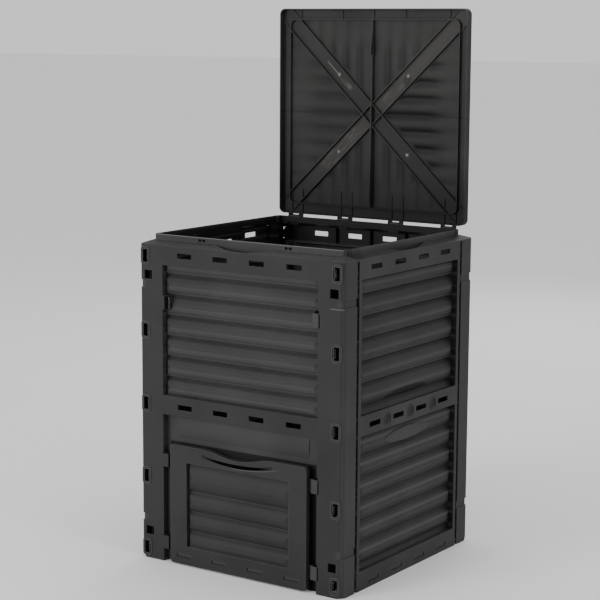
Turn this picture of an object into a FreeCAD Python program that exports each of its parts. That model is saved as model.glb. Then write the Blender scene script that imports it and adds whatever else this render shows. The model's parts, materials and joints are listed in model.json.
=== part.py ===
"""Garden compost bin with a hinged lid and a lift-out hatch, all moulded in black plastic.

Four snapped wall panels, a lid on four hinge knuckles and a hatch that slides up in the front wall.
Frame: +X along the front wall, +Y to the back, +Z up, standing on z = 0. Sizes in millimetres.
A wall feature is drawn once on a flat wall (x along it, y into the bin) and placed on each side.
The lid is modelled shut and stored swung open about its hinge line.
"""
import FreeCAD, Part
import math
import os

V = FreeCAD.Vector
X_AXIS = V(1, 0, 0)
Z_AXIS = V(0, 0, 1)

# Bin body
WIDTH = 610.0
DEPTH = 610.0
FACE_TOP = 806.0
SHOULDER_RISE = 10.0
RIM_HEIGHT = 14.0
RIM_INSET_X = 21.0
RIM_INSET_Y = 34.0
WALL = 3.2
CORNER_R = 12.0
RIM_CORNER_R = 8.0
FOOT_CORNER_R = 26.0
FOOT_ROUND_H = 12.0
WRAP = 56.0
PANEL_GAP = 10.0
MITRE_CLEAR = 0.5

# Bands and recesses of each wall, heights above the ground
TOP_BAND = 48.0
MID_BAND = 49.0
UPPER_LOW = 430.0
LOWER_LOW = 48.0
FRONT_MARGIN = 73.0
SIDE_MARGIN = 11.0
TUB_DEPTH = 30.0
TUB_WALL = 2.6
SHEET = 2.2

# Clapboard corrugation: convex boards, deepest where they meet and proudest at their crests
CREASE_DEPTH = 24.0
CREST_DEPTH = 8.0
CREST_PLACE = 0.57
NOSE_LENGTH = 20.0
BOARD_FLATS = 3
NOSE_FLATS = 2
REAR_FLATS = 2
FRONT_PITCH = 52.0
FRONT_CREASE = 43.0
SIDE_PITCH = 54.0
SIDE_CREASE = 17.0
SIDE_CREASE_LOWER = 9.0

# Slots through the bands
SLOT_SPACING = 109.0
SLOT_LENGTH = 44.0
SIDE_SLOT_LENGTH = 50.0
SLOT_HEIGHT = 13.0
TOP_SLOT_DROP = 22.0
MID_SLOT_RISE = 23.0
MARK_Z = 18.0
MARK_HEIGHT = 9.0
MARK_DEPTH = 1.2
SCOOP_WIDTH = 38.0
SCOOP_HEIGHT = 36.0
SCOOP_DEPTH = 2.2
SCOOP_RISE = 4.0

# Corner snaps between panels
SNAP_INSET = 19.5
SNAP_Z0 = 28.5
SNAP_DROP = 27.9
SNAP_COUNT = 5
SNAP_WIDTH = 16.0
SNAP_HEIGHT = 33.0
SNAP_STEP = 3.0
SNAP_STEP_DEPTH = 1.6
SNAP_CLEAR = 0.3
BORDER = 5.0
BORDER_PROUD = 1.5
COLUMN_INSET = 45.5
COLUMN_T = 2.4
COLUMN_REACH = 43.0
FLANGE_INSET = 21.0
FLANGE_T = 3.0
FLANGE_STOP = 15.0
TONGUE_T = 4.0
TONGUE_TIP = 0.8
BARB_T = 0.6
BRIDGE_PITCH = 44.0
BRIDGE_H = 4.0

# Square lightening holes and corner grooves
SQUARE_INSET = 28.0
SQUARE_W = 24.0
SQUARE_H = 22.0
SQUARE_RISE = 73.0
SQUARE_DROP = 75.0
GROOVE_H = 20.0
GROOVE_DEPTH = 2.8
GROOVE_RUN = 41.0
GROOVE_BACK = 3.0
GROOVE_RISE = 106.0
GROOVE_DROP = 99.0

# Stiffening ribs inside the bands
RIB_T = 3.0
RIB_DEPTH = 14.0

# Finger scoops in the shoulder
GRIP_HALF = 90.0
GRIP_REACH = 30.0
SIDE_GRIP_REACH = 17.0
GRIP_DEEP = 18.0
GRIP_WALL = 2.5

# Hatch
DOOR_MARGIN = 26.0
DOOR_LOW = 4.0
DOOR_HIGH = 309.0
DOOR_PROUD = 6.0
DOOR_PLATE = 3.0
DOOR_WALL = 3.0
DOOR_DEEP = 10.5
DOOR_CORNER_R = 8.0
DIP_HALF = 115.0
DIP_DEPTH = 15.0
DOOR_FRAME = 51.0
DOOR_FRAME_LOW = 47.0
DOOR_FRAME_HIGH = 42.0
DOOR_CREASE_DEPTH = 15.0
DOOR_CREST_DEPTH = 4.0
DOOR_SHEET = 2.5
DOOR_PITCH = 51.0
DOOR_CREASE = 39.0
HANDLE_HALF = 98.0
HANDLE_END_DROP = 19.5
HANDLE_TOP_DROP = 24.0
HANDLE_LOW_DROP = 34.0
DOOR_MARK_RISE = 22.5

# Doorway, rails and clips in the front wall
DOORWAY_LAP = 10.0
DOORWAY_TOP_LAP = 23.0
DOORWAY_R = 15.0
RAIL_DEPTH = 18.0
RAIL_T = 3.0
CLIP_REACH = 17.0
CLIP_HEIGHT = 35.0
CLIP_DEPTH = 8.0
CLIP_RISE = 47.0
CLIP_DROP = 45.0
PARK_CLIP_DROP = 94.0
PARK_CLIP_DEPTH = 18.0
LUG_CLEAR = 0.6
LUG_REACH = 22.0
LUG_HEIGHT = 30.0
STOP_HEIGHT = 6.0
BULGE_CLEAR = 2.0
BULGE_RISE = 13.0
BULGE_CREST_DEPTH = 15.0

# Lid, modelled shut
LID_GAP = 3.0
LID_WALL = 3.0
LID_CORNER_R = 16.0
LID_FRAME_R = 18.0
HINGE_RIB_RUN = 40.0
LID_ROOM = 4.0
LID_PLATE = 3.0
SKIRT_CLEAR = 0.6
SEAT_CLEAR = 0.5
LID_RIB_T = 2.5
LID_RIB_H = 9.0
LID_FRAME_INSET = 27.0
BAND_HALF = 22.0
FINE_RIB_H = 1.5
LID_PITCH = 43.7
LID_RIDGE_H = 6.0
LID_RIDGE_W = 26.0
LID_RIDGE_EDGE = 24.0
LID_RIDGE_RUN = 14.0
LID_RIDGE_FLATS = 3
STRIP_RIB_INSET = 60.0
STRIP_RIB_INNER = 97.0
CATCH_X = 129.0
CATCH_WIDTH = 20.0
CATCH_PROUD = 1.5

# Hinge
HINGE_OUT = 18.5
HINGE_DROP = 6.0
HINGE_SPACING = 160.0
HINGE_COUNT = 4
KNUCKLE_WIDTH = 30.0
KNUCKLE_R = 9.0
PIN_R = 4.0
HINGE_FLAT = 36.0
PIN_CLEAR = 0.06
ARM_T = 3.5
ARM_CLEAR = 0.4
OPEN_ANGLE = 90.0
RIM_BOSS_R = 7.0
RIM_BOSS_PROUD = 2.0

# Places that follow from the sizes above
SHOULDER_TOP = FACE_TOP + SHOULDER_RISE
RIM_TOP = SHOULDER_TOP + RIM_HEIGHT
RIM_HALF_X = WIDTH / 2 - RIM_INSET_X
RIM_HALF_Y = DEPTH / 2 - RIM_INSET_Y
WRAP_END = DEPTH / 2 - WRAP
SIDE_HALF = WRAP_END - PANEL_GAP
UPPER_HIGH = FACE_TOP - TOP_BAND
LOWER_HIGH = UPPER_LOW - MID_BAND
RECESS_HALF_FRONT = WIDTH / 2 - FRONT_MARGIN
RECESS_HALF_SIDE = SIDE_HALF - SIDE_MARGIN
TOP_SLOT_Z = FACE_TOP - TOP_SLOT_DROP
MID_SLOT_Z = LOWER_HIGH + MID_SLOT_RISE
SLOT_PLACES = [SLOT_SPACING * k for k in (-1.5, -0.5, 0.5, 1.5)]
SNAP_X = WIDTH / 2 - SNAP_INSET
SNAP_PITCH = (FACE_TOP - SNAP_DROP - SNAP_Z0) / (SNAP_COUNT - 1)
SNAP_HEIGHTS = [SNAP_Z0 + SNAP_PITCH * k for k in range(SNAP_COUNT)]
COLUMN_X = WIDTH / 2 - COLUMN_INSET
FLANGE_X = WIDTH / 2 - FLANGE_INSET
FLANGE_REACH = DEPTH / 2 - FLANGE_STOP
SQUARE_X = WIDTH / 2 - SQUARE_INSET
SQUARE_Z = (SQUARE_RISE, FACE_TOP - SQUARE_DROP)
GROOVE_Z = (GROOVE_RISE, FACE_TOP - GROOVE_DROP)
DOOR_HALF = RECESS_HALF_FRONT - DOOR_MARGIN
DOOR_RECESS_HALF = DOOR_HALF - DOOR_FRAME
DOOR_RECESS_LOW = DOOR_LOW + DOOR_FRAME_LOW
DOOR_RECESS_HIGH = DOOR_HIGH - DOOR_FRAME_HIGH
DOORWAY_HALF = DOOR_HALF - DOORWAY_LAP
DOORWAY_HIGH = DOOR_HIGH - DOORWAY_TOP_LAP
CLIP_Z = (DOOR_LOW + CLIP_RISE, DOOR_HIGH - CLIP_DROP)
PARK_CLIP_Z = UPPER_HIGH - PARK_CLIP_DROP
BULGE_LOW = DOOR_HIGH + BULGE_RISE
BULGE_CREST_Z = (BULGE_LOW + LOWER_HIGH) / 2
BULGE_HALF = DOOR_HALF - DOOR_WALL - BULGE_CLEAR
LID_HALF_X = RIM_HALF_X + LID_GAP + LID_WALL
LID_HALF_Y = RIM_HALF_Y + LID_GAP + LID_WALL
LID_UNDER = RIM_TOP + LID_ROOM
LID_TOP = LID_UNDER + LID_PLATE
LID_SEAT = RIM_TOP + SEAT_CLEAR
LID_SKIRT_LOW = SHOULDER_TOP + SKIRT_CLEAR
STRIP_RIB_OUTER = LID_HALF_X - STRIP_RIB_INSET
HINGE_Y = RIM_HALF_Y + HINGE_OUT
HINGE_Z = RIM_TOP - HINGE_DROP
HINGE_PLACES = [HINGE_SPACING * (k - (HINGE_COUNT - 1) / 2) for k in range(HINGE_COUNT)]
OPEN_LID_BACK = HINGE_Y + LID_TOP + LID_RIDGE_H - HINGE_Z
SHIFT_Y = (DEPTH / 2 + DOOR_PROUD - max(DEPTH / 2, OPEN_LID_BACK)) / 2


def box(x0, x1, y0, y1, z0, z1):
    """Block between two corners."""
    return Part.makeBox(x1 - x0, y1 - y0, z1 - z0, V(x0, y0, z0))


def fused(shapes):
    """One solid from several."""
    shapes = list(shapes)
    if len(shapes) == 1:
        return shapes[0]
    return shapes[0].multiFuse(shapes[1:])


def line(a, b):
    return Part.LineSegment(a, b).toShape()


def arc(a, mid, b):
    return Part.Arc(a, mid, b).toShape()


def prism(points, along):
    """Straight-sided prism on a closed run of points."""
    return Part.Face(Part.makePolygon(points + [points[0]])).extrude(along)


def rounded_wire(half_x, half_y, r, z):
    """Rounded rectangle about the Z axis."""
    edges = []
    turn = math.sqrt(0.5)
    corners = [(1, -1, -90), (1, 1, 0), (-1, 1, 90), (-1, -1, 180)]
    ends = []
    for sx, sy, start in corners:
        centre = V(sx * (half_x - r), sy * (half_y - r), z)
        a = math.radians(start)
        first = centre + V(r * math.cos(a), r * math.sin(a), 0)
        mid = centre + V(sx * r * turn, sy * r * turn, 0)
        b = a + math.pi / 2
        last = centre + V(r * math.cos(b), r * math.sin(b), 0)
        ends.append((first, mid, last))
    for k, (first, mid, last) in enumerate(ends):
        edges.append(arc(first, mid, last))
        edges.append(line(last, ends[(k + 1) % 4][0]))
    return Part.Wire(edges)


def rounded_prism(half_x, half_y, r, z0, z1):
    return Part.Face(rounded_wire(half_x, half_y, r, z0)).extrude(V(0, 0, z1 - z0))


def hip_roof(half_x, half_y, rim_x, rim_y, low, eaves, top):
    """Block whose four sides lean in above the eaves and meet on hip lines."""
    across = [V(-half_x, -half_y, low), V(half_x, -half_y, low), V(half_x, -half_y, eaves)]
    across += [V(rim_x, -half_y, top), V(-rim_x, -half_y, top), V(-half_x, -half_y, eaves)]
    along = [V(-half_x, -half_y, low), V(-half_x, half_y, low), V(-half_x, half_y, eaves)]
    along += [V(-half_x, rim_y, top), V(-half_x, -rim_y, top), V(-half_x, -half_y, eaves)]
    return prism(across, V(0, 2 * half_y, 0)).common(prism(along, V(2 * half_x, 0, 0)))


def foot_cuts(inset):
    """Cutters that lean the four lower corners in, from the outer corner's round to the ground."""
    spare = math.sqrt(2) - 1
    at_ground = FOOT_CORNER_R * spare - inset * spare
    at_top = CORNER_R * spare - inset * spare
    lean = at_ground - at_top
    low = -FOOT_ROUND_H
    high = 2 * FOOT_ROUND_H
    profile = [V(-at_ground - lean, -FOOT_CORNER_R, low), V(FOOT_CORNER_R, -FOOT_CORNER_R, low)]
    profile += [V(FOOT_CORNER_R, -FOOT_CORNER_R, high), V(-at_top + lean, -FOOT_CORNER_R, high)]
    cutters = []
    for sx, sy, angle in ((1, 1, 45), (-1, 1, 135), (-1, -1, 225), (1, -1, 315)):
        wedge = prism(profile, V(0, 2 * FOOT_CORNER_R, 0))
        wedge.rotate(V(0, 0, 0), Z_AXIS, angle)
        wedge.translate(V(sx * (WIDTH / 2 - inset), sy * (DEPTH / 2 - inset), 0))
        cutters.append(wedge)
    return cutters


def body_block(inset, drop, overrun):
    """Outer form of the bin, shrunk by an inset, with its shoulder lowered by a drop."""
    half_x = WIDTH / 2 - inset
    half_y = DEPTH / 2 - inset
    rim_x = RIM_HALF_X - inset
    rim_y = RIM_HALF_Y - inset
    top = SHOULDER_TOP - drop
    sides = rounded_prism(half_x, half_y, CORNER_R - inset, -overrun, top)
    sides = sides.common(hip_roof(half_x, half_y, rim_x, rim_y, -overrun, FACE_TOP - drop, top))
    rim = rounded_prism(rim_x, rim_y, RIM_CORNER_R - inset, top - drop - 1, RIM_TOP + overrun)
    return sides.cut(fused(foot_cuts(inset))).fuse(rim)


def body_shell():
    """Wall of the whole bin before it is split into panels."""
    return body_block(0, 0, 0).cut(body_block(WALL, WALL, 1.0))


def mitre(x, clear):
    """Depth at which front and side panels meet over the shoulder, at a distance x from the middle."""
    run = (x - RIM_HALF_X) / RIM_INSET_X
    rim_end = RIM_HALF_Y - RIM_CORNER_R
    return rim_end + (SIDE_HALF - rim_end) * run - clear


def side_sector(half, clear, z0, z1):
    """Space of a side panel on +X: square below the shoulder, mitred to the rim above it."""
    far = WIDTH / 2 + 20
    near = WIDTH / 2 - 80
    square = box(near, far, -half, half, z0, FACE_TOP - WALL)
    inner = mitre(RIM_HALF_X, clear)
    outer = mitre(far, clear)
    low = FACE_TOP - WALL
    points = [V(near, -inner, low), V(RIM_HALF_X, -inner, low), V(far, -outer, low)]
    points += [V(far, outer, low), V(RIM_HALF_X, inner, low), V(near, inner, low)]
    return square.fuse(prism(points, V(0, 0, z1 - low)))


def board_half(crest_y, crest_z, crease_y, crease_z, flats):
    """Points of a convex board from its crest to one crease, in flats, the crest itself left out."""
    depth = crease_y - crest_y
    rise = crease_z - crest_z
    r = (rise ** 2 + depth ** 2) / (2 * depth)
    turn = math.copysign(math.acos(1 - depth / r), rise)
    steps = [turn * n / flats for n in range(1, flats + 1)]
    return [(crest_y + r * (1 - math.cos(a)), crest_z + r * math.sin(a)) for a in steps]


def corrugation_line(creases, crest_depth, crease_depth, flats):
    """Points (depth, height) down a clapboard sheet, from above a recess to below it."""
    points = [(crease_depth, creases[0])]
    for high, low in zip(creases, creases[1:]):
        crest_z = high - CREST_PLACE * (high - low)
        upper = board_half(crest_depth, crest_z, crease_depth, high, flats)
        points += upper[-2::-1] + [(crest_depth, crest_z)]
        points += board_half(crest_depth, crest_z, crease_depth, low, flats)
    return points


def crease_places(low, high, first, pitch, stretch_top=None):
    """Crease heights from above a recess to below it."""
    count = int(math.ceil((high - low - first) / pitch))
    places = [low + first + pitch * k for k in range(-1, count + 1)]
    if stretch_top is not None:
        places = [z for z in places if z < low + stretch_top - 0.6 * pitch]
        places.append(low + stretch_top)
    return sorted(places, reverse=True)


def behind_sheet(half, low, high, creases, crest_depth, crease_depth, deep, flats, nose_flats):
    """Everything behind a corrugated sheet that closes a recess, with rounded ends to its ridges."""
    profile = [V(-half, y, z) for y, z in corrugation_line(creases, crest_depth, crease_depth, flats)]
    waves = prism(profile + [V(-half, deep, creases[-1]), V(-half, deep, creases[0])], V(2 * half, 0, 0))
    flat = crest_depth - 1
    lift = crease_depth - flat
    nose = half - NOSE_LENGTH
    run = []
    for n in range(nose_flats + 1):
        a = math.radians(90 * n / nose_flats)
        run.append((nose + NOSE_LENGTH * math.cos(a), crease_depth - lift * math.sin(a)))
    plan = [V(x, y, low) for x, y in run] + [V(-x, y, low) for x, y in run[::-1]]
    plan += [V(-half, deep, low), V(half, deep, low)]
    ends = prism(plan, V(0, 0, high - low))
    return waves.common(ends)


def corrugated_tub(half, low, high, creases, crest_depth, crease_depth, sheet, wall, face, deep):
    """Walls and corrugated floor of a recess, and the block that is cleared for it first."""
    block = box(-half - wall, half + wall, face, deep, low - wall, high + wall)
    room = box(-half, half, face - 1, deep + sheet, low, high)
    far = deep + 2 * sheet
    behind = behind_sheet(half, low, high, creases, crest_depth, crease_depth, far, BOARD_FLATS, NOSE_FLATS)
    front_void = room.cut(behind)
    rear_void = behind_sheet(half, low, high, creases, crest_depth, crease_depth, far, REAR_FLATS, 1)
    rear_void.translate(V(0, sheet, 0))
    rear_void = rear_void.common(box(-half, half, face, deep + sheet, low, high))
    return block.cut(front_void).cut(rear_void)


def slot_cut(x, z, length, height, depth):
    """Cutter for a slot lying along a wall."""
    return box(x - length / 2, x + length / 2, -1, depth, z - height / 2, z + height / 2)


def band_slots(length, z):
    return [slot_cut(x, z, length, SLOT_HEIGHT, 2 * WALL + 1) for x in SLOT_PLACES]


def blind_marks(length, z, face):
    """Shallow pockets in the bottom band where the other bands have slots."""
    marks = []
    for x in SLOT_PLACES:
        marks.append(box(x - length / 2, x + length / 2, face - 1, face + MARK_DEPTH, z - MARK_HEIGHT / 2,
                         z + MARK_HEIGHT / 2))
    return marks


def band_scoops():
    """Arched, dished dents between the middle slots."""
    cutters = []
    low = LOWER_HIGH + SCOOP_RISE
    half_w = SCOOP_WIDTH / 2
    half_h = SCOOP_HEIGHT / 2
    r = (half_h ** 2 + SCOOP_DEPTH ** 2) / (2 * SCOOP_DEPTH)
    for k in (-1, 0, 1):
        x = SLOT_SPACING * k
        neck = low + SCOOP_HEIGHT - half_w
        straight = box(x - half_w, x + half_w, -1, WALL, low, neck)
        crown = Part.makeCylinder(half_w, WALL + 1, V(x, -1, neck), V(0, 1, 0))
        dish = Part.makeCylinder(r, SCOOP_WIDTH, V(x - half_w, SCOOP_DEPTH - r, low + half_h), X_AXIS)
        cutters.append(straight.fuse(crown).common(dish))
    return cutters


def band_ribs(low, high):
    """Upright stiffening ribs on the inner side of a band, between its slots."""
    ribs = []
    for k in (-1, 0, 1):
        x = SLOT_SPACING * k
        ribs.append(box(x - RIB_T / 2, x + RIB_T / 2, WALL - 1, RIB_DEPTH, low, high))
    return ribs


def on_front(shape):
    placed = shape.copy()
    placed.translate(V(0, -DEPTH / 2, 0))
    return placed


def on_right(shape):
    placed = shape.copy()
    placed.rotate(V(0, 0, 0), Z_AXIS, 90)
    placed.translate(V(WIDTH / 2, 0, 0))
    return placed


def tub(half, low, high, first, pitch):
    """Corrugated tub of a wall."""
    return corrugated_tub(half, low, high, crease_places(low, high, first, pitch), CREST_DEPTH, CREASE_DEPTH,
                          SHEET, TUB_WALL, 0, TUB_DEPTH)


def grip_outline(half, reach, z, grow):
    """D-shaped outline of a finger scoop, its chord on the rim and its bow towards the face."""
    a = V(-half - grow, 0, z)
    b = V(half + grow, 0, z)
    bow = V(0, -reach - grow, z)
    return Part.Face(Part.Wire([arc(a, bow, b), line(b, a)]))


def grip_cut(reach, inset):
    """Room of a finger scoop, open through the shoulder, on the flat wall."""
    low = FACE_TOP - GRIP_DEEP
    room = grip_outline(GRIP_HALF, reach, low, 0).extrude(V(0, 0, GRIP_DEEP + SHOULDER_RISE + 4))
    room.translate(V(0, inset, 0))
    return room


def grip_cup(reach, inset):
    """Thin cup under a finger scoop that keeps the bin closed."""
    low = FACE_TOP - GRIP_DEEP - GRIP_WALL
    cup = grip_outline(GRIP_HALF, reach, low, GRIP_WALL).extrude(V(0, 0, GRIP_DEEP + GRIP_WALL + 1))
    cup.translate(V(0, inset, 0))
    back = box(-GRIP_HALF - GRIP_WALL, GRIP_HALF + GRIP_WALL, inset, inset + WALL, low, SHOULDER_TOP)
    limit = box(-WIDTH, WIDTH, WALL / 2, DEPTH, low, RIM_TOP)
    return cup.fuse(back).common(limit)


def soft_corner_pad(half_x, half_z, r, steps, y0, y1):
    """Upright pad with its corners rounded in a few flats, centred on x = 0 and z = 0."""
    points = []
    for k, (sx, sz) in enumerate(((1, 1), (-1, 1), (-1, -1), (1, -1))):
        for n in range(steps + 1):
            a = math.radians(90 * k + 90 * n / steps)
            points.append(V(sx * (half_x - r) + r * math.cos(a), y0, sz * (half_z - r) + r * math.sin(a)))
    return prism(points, V(0, y1 - y0, 0))


def snap_places():
    """Corner snaps of one wall as (side, height)."""
    return [(side, z) for side in (1, -1) for z in SNAP_HEIGHTS]


def snap_border(side, z):
    """Raised border round a corner snap."""
    pad = soft_corner_pad(SNAP_WIDTH / 2 + BORDER, SNAP_HEIGHT / 2 + BORDER, BORDER + 2, 2, -BORDER_PROUD, 1)
    pad.translate(V(side * SNAP_X, 0, z))
    return pad


def snap_cuts(side, z):
    """Slot of a corner snap, and the shallow step beside it that the hook's barb lies in."""
    x = side * SNAP_X
    half_w = SNAP_WIDTH / 2
    half_h = SNAP_HEIGHT / 2
    slot = box(x - half_w, x + half_w, -BORDER_PROUD - 1, WALL + 1, z - half_h, z + half_h)
    inner = SNAP_X - SNAP_WIDTH / 2
    tall = SNAP_HEIGHT / 2 - BORDER
    x0, x1 = sorted((side * (inner - SNAP_STEP), side * (inner + 1)))
    return [slot, box(x0, x1, -BORDER_PROUD - 1, SNAP_STEP_DEPTH, z - tall, z + tall)]


def front_keep():
    """Space of the front panel: the front of the bin up to the wraps' edges and the mitres."""
    keep = box(-WIDTH, WIDTH, -DEPTH, -WRAP_END, -1, RIM_TOP + 1)
    top = box(-WIDTH, WIDTH, -DEPTH, -DEPTH / 2 + 90, FACE_TOP - WALL, RIM_TOP + 1)
    return keep.fuse(top)


def panel_shell_front(shell):
    """Front panel's share of the shell, cut to the wraps and the mitres."""
    share = shell.common(front_keep())
    for side in (1, -1):
        sector = side_sector(SIDE_HALF, -MITRE_CLEAR, -1, RIM_TOP + 2)
        if side < 0:
            sector.rotate(V(0, 0, 0), Z_AXIS, 180)
        share = share.cut(sector)
    return share


def corner_grooves():
    """Grooves that run round a wrap and fade out on the face, as cutters at the +X front corner."""
    cutters = []
    x1 = WIDTH / 2
    y0 = -DEPTH / 2
    inset = GROOVE_DEPTH
    for z in GROOVE_Z:
        low = z - GROOVE_H / 2
        face = prism([V(x1 - GROOVE_RUN, y0 - 1, low), V(x1 - GROOVE_RUN, y0, low),
                      V(x1 + 1, y0 + inset * 1.05, low), V(x1 + 1, y0 - 1, low)], V(0, 0, GROOVE_H))
        wrap = box(x1 - inset, x1 + 1, y0 - 1, y0 + WRAP + 30, low, low + GROOVE_H)
        outer = rounded_prism(x1 + 1, 1 - y0, CORNER_R + 1, low, low + GROOVE_H)
        inner = rounded_prism(x1 - inset, -y0 - inset, CORNER_R - inset, low - 1, low + GROOVE_H + 1)
        near = box(x1 - CORNER_R, x1 + 2, y0 - 2, y0 + CORNER_R, low, low + GROOVE_H)
        cutters += [face, wrap, outer.cut(inner).common(near)]
    return cutters


def groove_backing():
    """Thicker wall behind the corner grooves."""
    pads = []
    x1 = WIDTH / 2 - WALL / 2
    y1 = -DEPTH / 2 + WALL / 2
    x2 = x1 - WALL / 2 - GROOVE_BACK
    y2 = y1 + WALL / 2 + GROOVE_BACK
    bend = CORNER_R
    for z in GROOVE_Z:
        low = z - GROOVE_H / 2 - WALL
        tall = GROOVE_H + 2 * WALL
        outline = [V(WIDTH / 2 - GROOVE_RUN, y1, low), V(x1, y1, low), V(x1, -WRAP_END, low)]
        outline += [V(x2, -WRAP_END, low), V(x2, -DEPTH / 2 + bend, low)]
        outline += [V(WIDTH / 2 - bend, y2, low), V(WIDTH / 2 - GROOVE_RUN, y2, low)]
        skin = rounded_prism(x1, -y1, CORNER_R - WALL / 2, low, low + tall)
        pads.append(prism(outline, V(0, 0, tall)).common(skin))
    return pads


def both_corners(shapes):
    """The shapes and their mirror images in the YZ plane."""
    shapes = list(shapes)
    return shapes + [s.mirror(V(0, 0, 0), X_AXIS) for s in shapes]


def end_panel_body(shell):
    """What the front and back walls share, placed at the front."""
    panel = panel_shell_front(shell)
    adds = [on_front(rib) for rib in band_ribs(UPPER_HIGH + TUB_WALL, FACE_TOP - WALL)]
    adds += [on_front(rib) for rib in band_ribs(LOWER_HIGH + TUB_WALL, UPPER_LOW - TUB_WALL)]
    adds += both_corners(groove_backing())
    adds += [on_front(snap_border(side, z)) for side, z in snap_places()]
    column = box(COLUMN_X - COLUMN_T, COLUMN_X, WALL - 1, COLUMN_REACH, FOOT_ROUND_H, FACE_TOP - WALL - 4)
    adds += both_corners([on_front(column)])
    panel = panel.multiFuse(adds)
    cuts = [on_front(c) for c in band_slots(SLOT_LENGTH, TOP_SLOT_Z) + band_slots(SLOT_LENGTH, MID_SLOT_Z)]
    for side, z in snap_places():
        cuts += [on_front(c) for c in snap_cuts(side, z)]
    for side in (1, -1):
        for z in SQUARE_Z:
            x = side * SQUARE_X
            cuts.append(box(x - SQUARE_W / 2, x + SQUARE_W / 2, -DEPTH / 2 - 1, -DEPTH / 2 + WALL + 5,
                            z - SQUARE_H / 2, z + SQUARE_H / 2))
    cuts += both_corners(corner_grooves())
    return panel.cut(fused(cuts))


def recess_gap(half, low, high):
    """Window cleared in a wall for a tub."""
    return box(-half, half, -5, WALL + 1, low, high)


def make_back(shell):
    panel = end_panel_body(shell)
    for low, high in ((UPPER_LOW, UPPER_HIGH), (LOWER_LOW, LOWER_HIGH)):
        panel = panel.cut(on_front(recess_gap(RECESS_HALF_FRONT, low, high)))
        panel = panel.fuse(on_front(tub(RECESS_HALF_FRONT, low, high, FRONT_CREASE, FRONT_PITCH)))
    for mark in blind_marks(SLOT_LENGTH, MARK_Z, 0):
        panel = panel.cut(on_front(mark))
    panel.rotate(V(0, 0, 0), Z_AXIS, 180)
    return panel.multiFuse(hinge_knuckles())


def hinge_round(x, start, end):
    """Points of an eye's outline round the hinge line, in flats, between two angles from +Y."""
    points = []
    steps = int(round((end - start) / HINGE_FLAT))
    for n in range(steps + 1):
        a = math.radians(start + (end - start) * n / steps)
        points.append(V(x, HINGE_Y + KNUCKLE_R * math.cos(a), HINGE_Z + KNUCKLE_R * math.sin(a)))
    return points


def hinge_knuckles():
    """Knuckle blocks on the back shoulder, each with a pin that sticks out at both sides."""
    knuckles = []
    half = KNUCKLE_WIDTH / 2
    pin_half = half + ARM_CLEAR + ARM_T
    for x in HINGE_PLACES:
        outline = hinge_round(x - half, 0, 180)
        outline += [V(x - half, HINGE_Y - KNUCKLE_R, FACE_TOP), V(x - half, HINGE_Y + KNUCKLE_R, FACE_TOP)]
        block = prism(outline, V(KNUCKLE_WIDTH, 0, 0))
        pin = Part.makeCylinder(PIN_R, 2 * pin_half, V(x - pin_half, HINGE_Y, HINGE_Z), X_AXIS)
        knuckles += [block, pin]
    return knuckles


def front_lower_wall():
    """Sunk wall round the doorway: rails beside it, a soft bulge above it."""
    half = RECESS_HALF_FRONT
    t = TUB_WALL
    block = box(-half - t, half + t, 0, TUB_DEPTH, 0, LOWER_HIGH + t)
    room = box(-half, half, -1, RAIL_DEPTH, -1, LOWER_HIGH)
    behind = box(-half, half, RAIL_DEPTH + RAIL_T, TUB_DEPTH + 1, -1, LOWER_HIGH)
    doorway = rounded_prism(DOORWAY_HALF, DOORWAY_HIGH, DOORWAY_R, 0, 60)
    doorway.rotate(V(0, 0, 0), X_AXIS, 90)
    doorway.translate(V(0, 50, 0))
    bulge = bulge_shape(0)
    hollow = bulge_shape(RAIL_T)
    wall = block.cut(room).cut(behind).cut(doorway)
    return wall.fuse(bulge).cut(hollow)


def bulge_shape(shift):
    """Soft bulge above the doorway, with rounded ends."""
    base = RAIL_DEPTH + 0.5
    crest = BULGE_CREST_DEPTH
    top = V(0, base, LOWER_HIGH)
    mid = V(0, crest, BULGE_CREST_Z)
    low = V(0, base, BULGE_LOW)
    swell = Part.Face(Part.Wire([arc(top, mid, low), line(low, top)])).extrude(V(2 * BULGE_HALF, 0, 0))
    swell.translate(V(-BULGE_HALF, 0, 0))
    turn = math.sqrt(0.5)
    lift = base - crest
    nose = BULGE_HALF - 6
    z = BULGE_LOW
    right = arc(V(BULGE_HALF, base, z), V(nose + 6 * turn, base - lift * turn, z), V(nose, crest - 0.5, z))
    left = arc(V(-nose, crest - 0.5, z), V(-nose - 6 * turn, base - lift * turn, z), V(-BULGE_HALF, base, z))
    across = line(V(nose, crest - 0.5, z), V(-nose, crest - 0.5, z))
    plan = Part.Wire([right, across, left, line(V(-BULGE_HALF, base, z), V(BULGE_HALF, base, z))])
    ends = Part.Face(plan).extrude(V(0, 0, LOWER_HIGH - BULGE_LOW))
    shape = swell.common(ends)
    shape.translate(V(0, shift, 0))
    return shape


def guide_clips():
    """Clips on the recess edges: two pairs hold the hatch, one pair parks it."""
    clips = []
    half = RECESS_HALF_FRONT
    tall = CLIP_HEIGHT / 2
    for z in CLIP_Z:
        clips.append(box(half - CLIP_REACH, half + 1, 0, CLIP_DEPTH, z - tall, z + tall))
    low = CLIP_Z[0] - LUG_HEIGHT / 2 - SNAP_CLEAR - STOP_HEIGHT
    near = half - CLIP_REACH + 2
    clips.append(box(near, half + 1, CLIP_DEPTH - 1, RAIL_DEPTH + 1, low, low + STOP_HEIGHT))
    z = PARK_CLIP_Z
    clips.append(box(half - CLIP_REACH, half + 1, 0, PARK_CLIP_DEPTH, z - tall, z + tall))
    return both_corners(clips)


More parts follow.
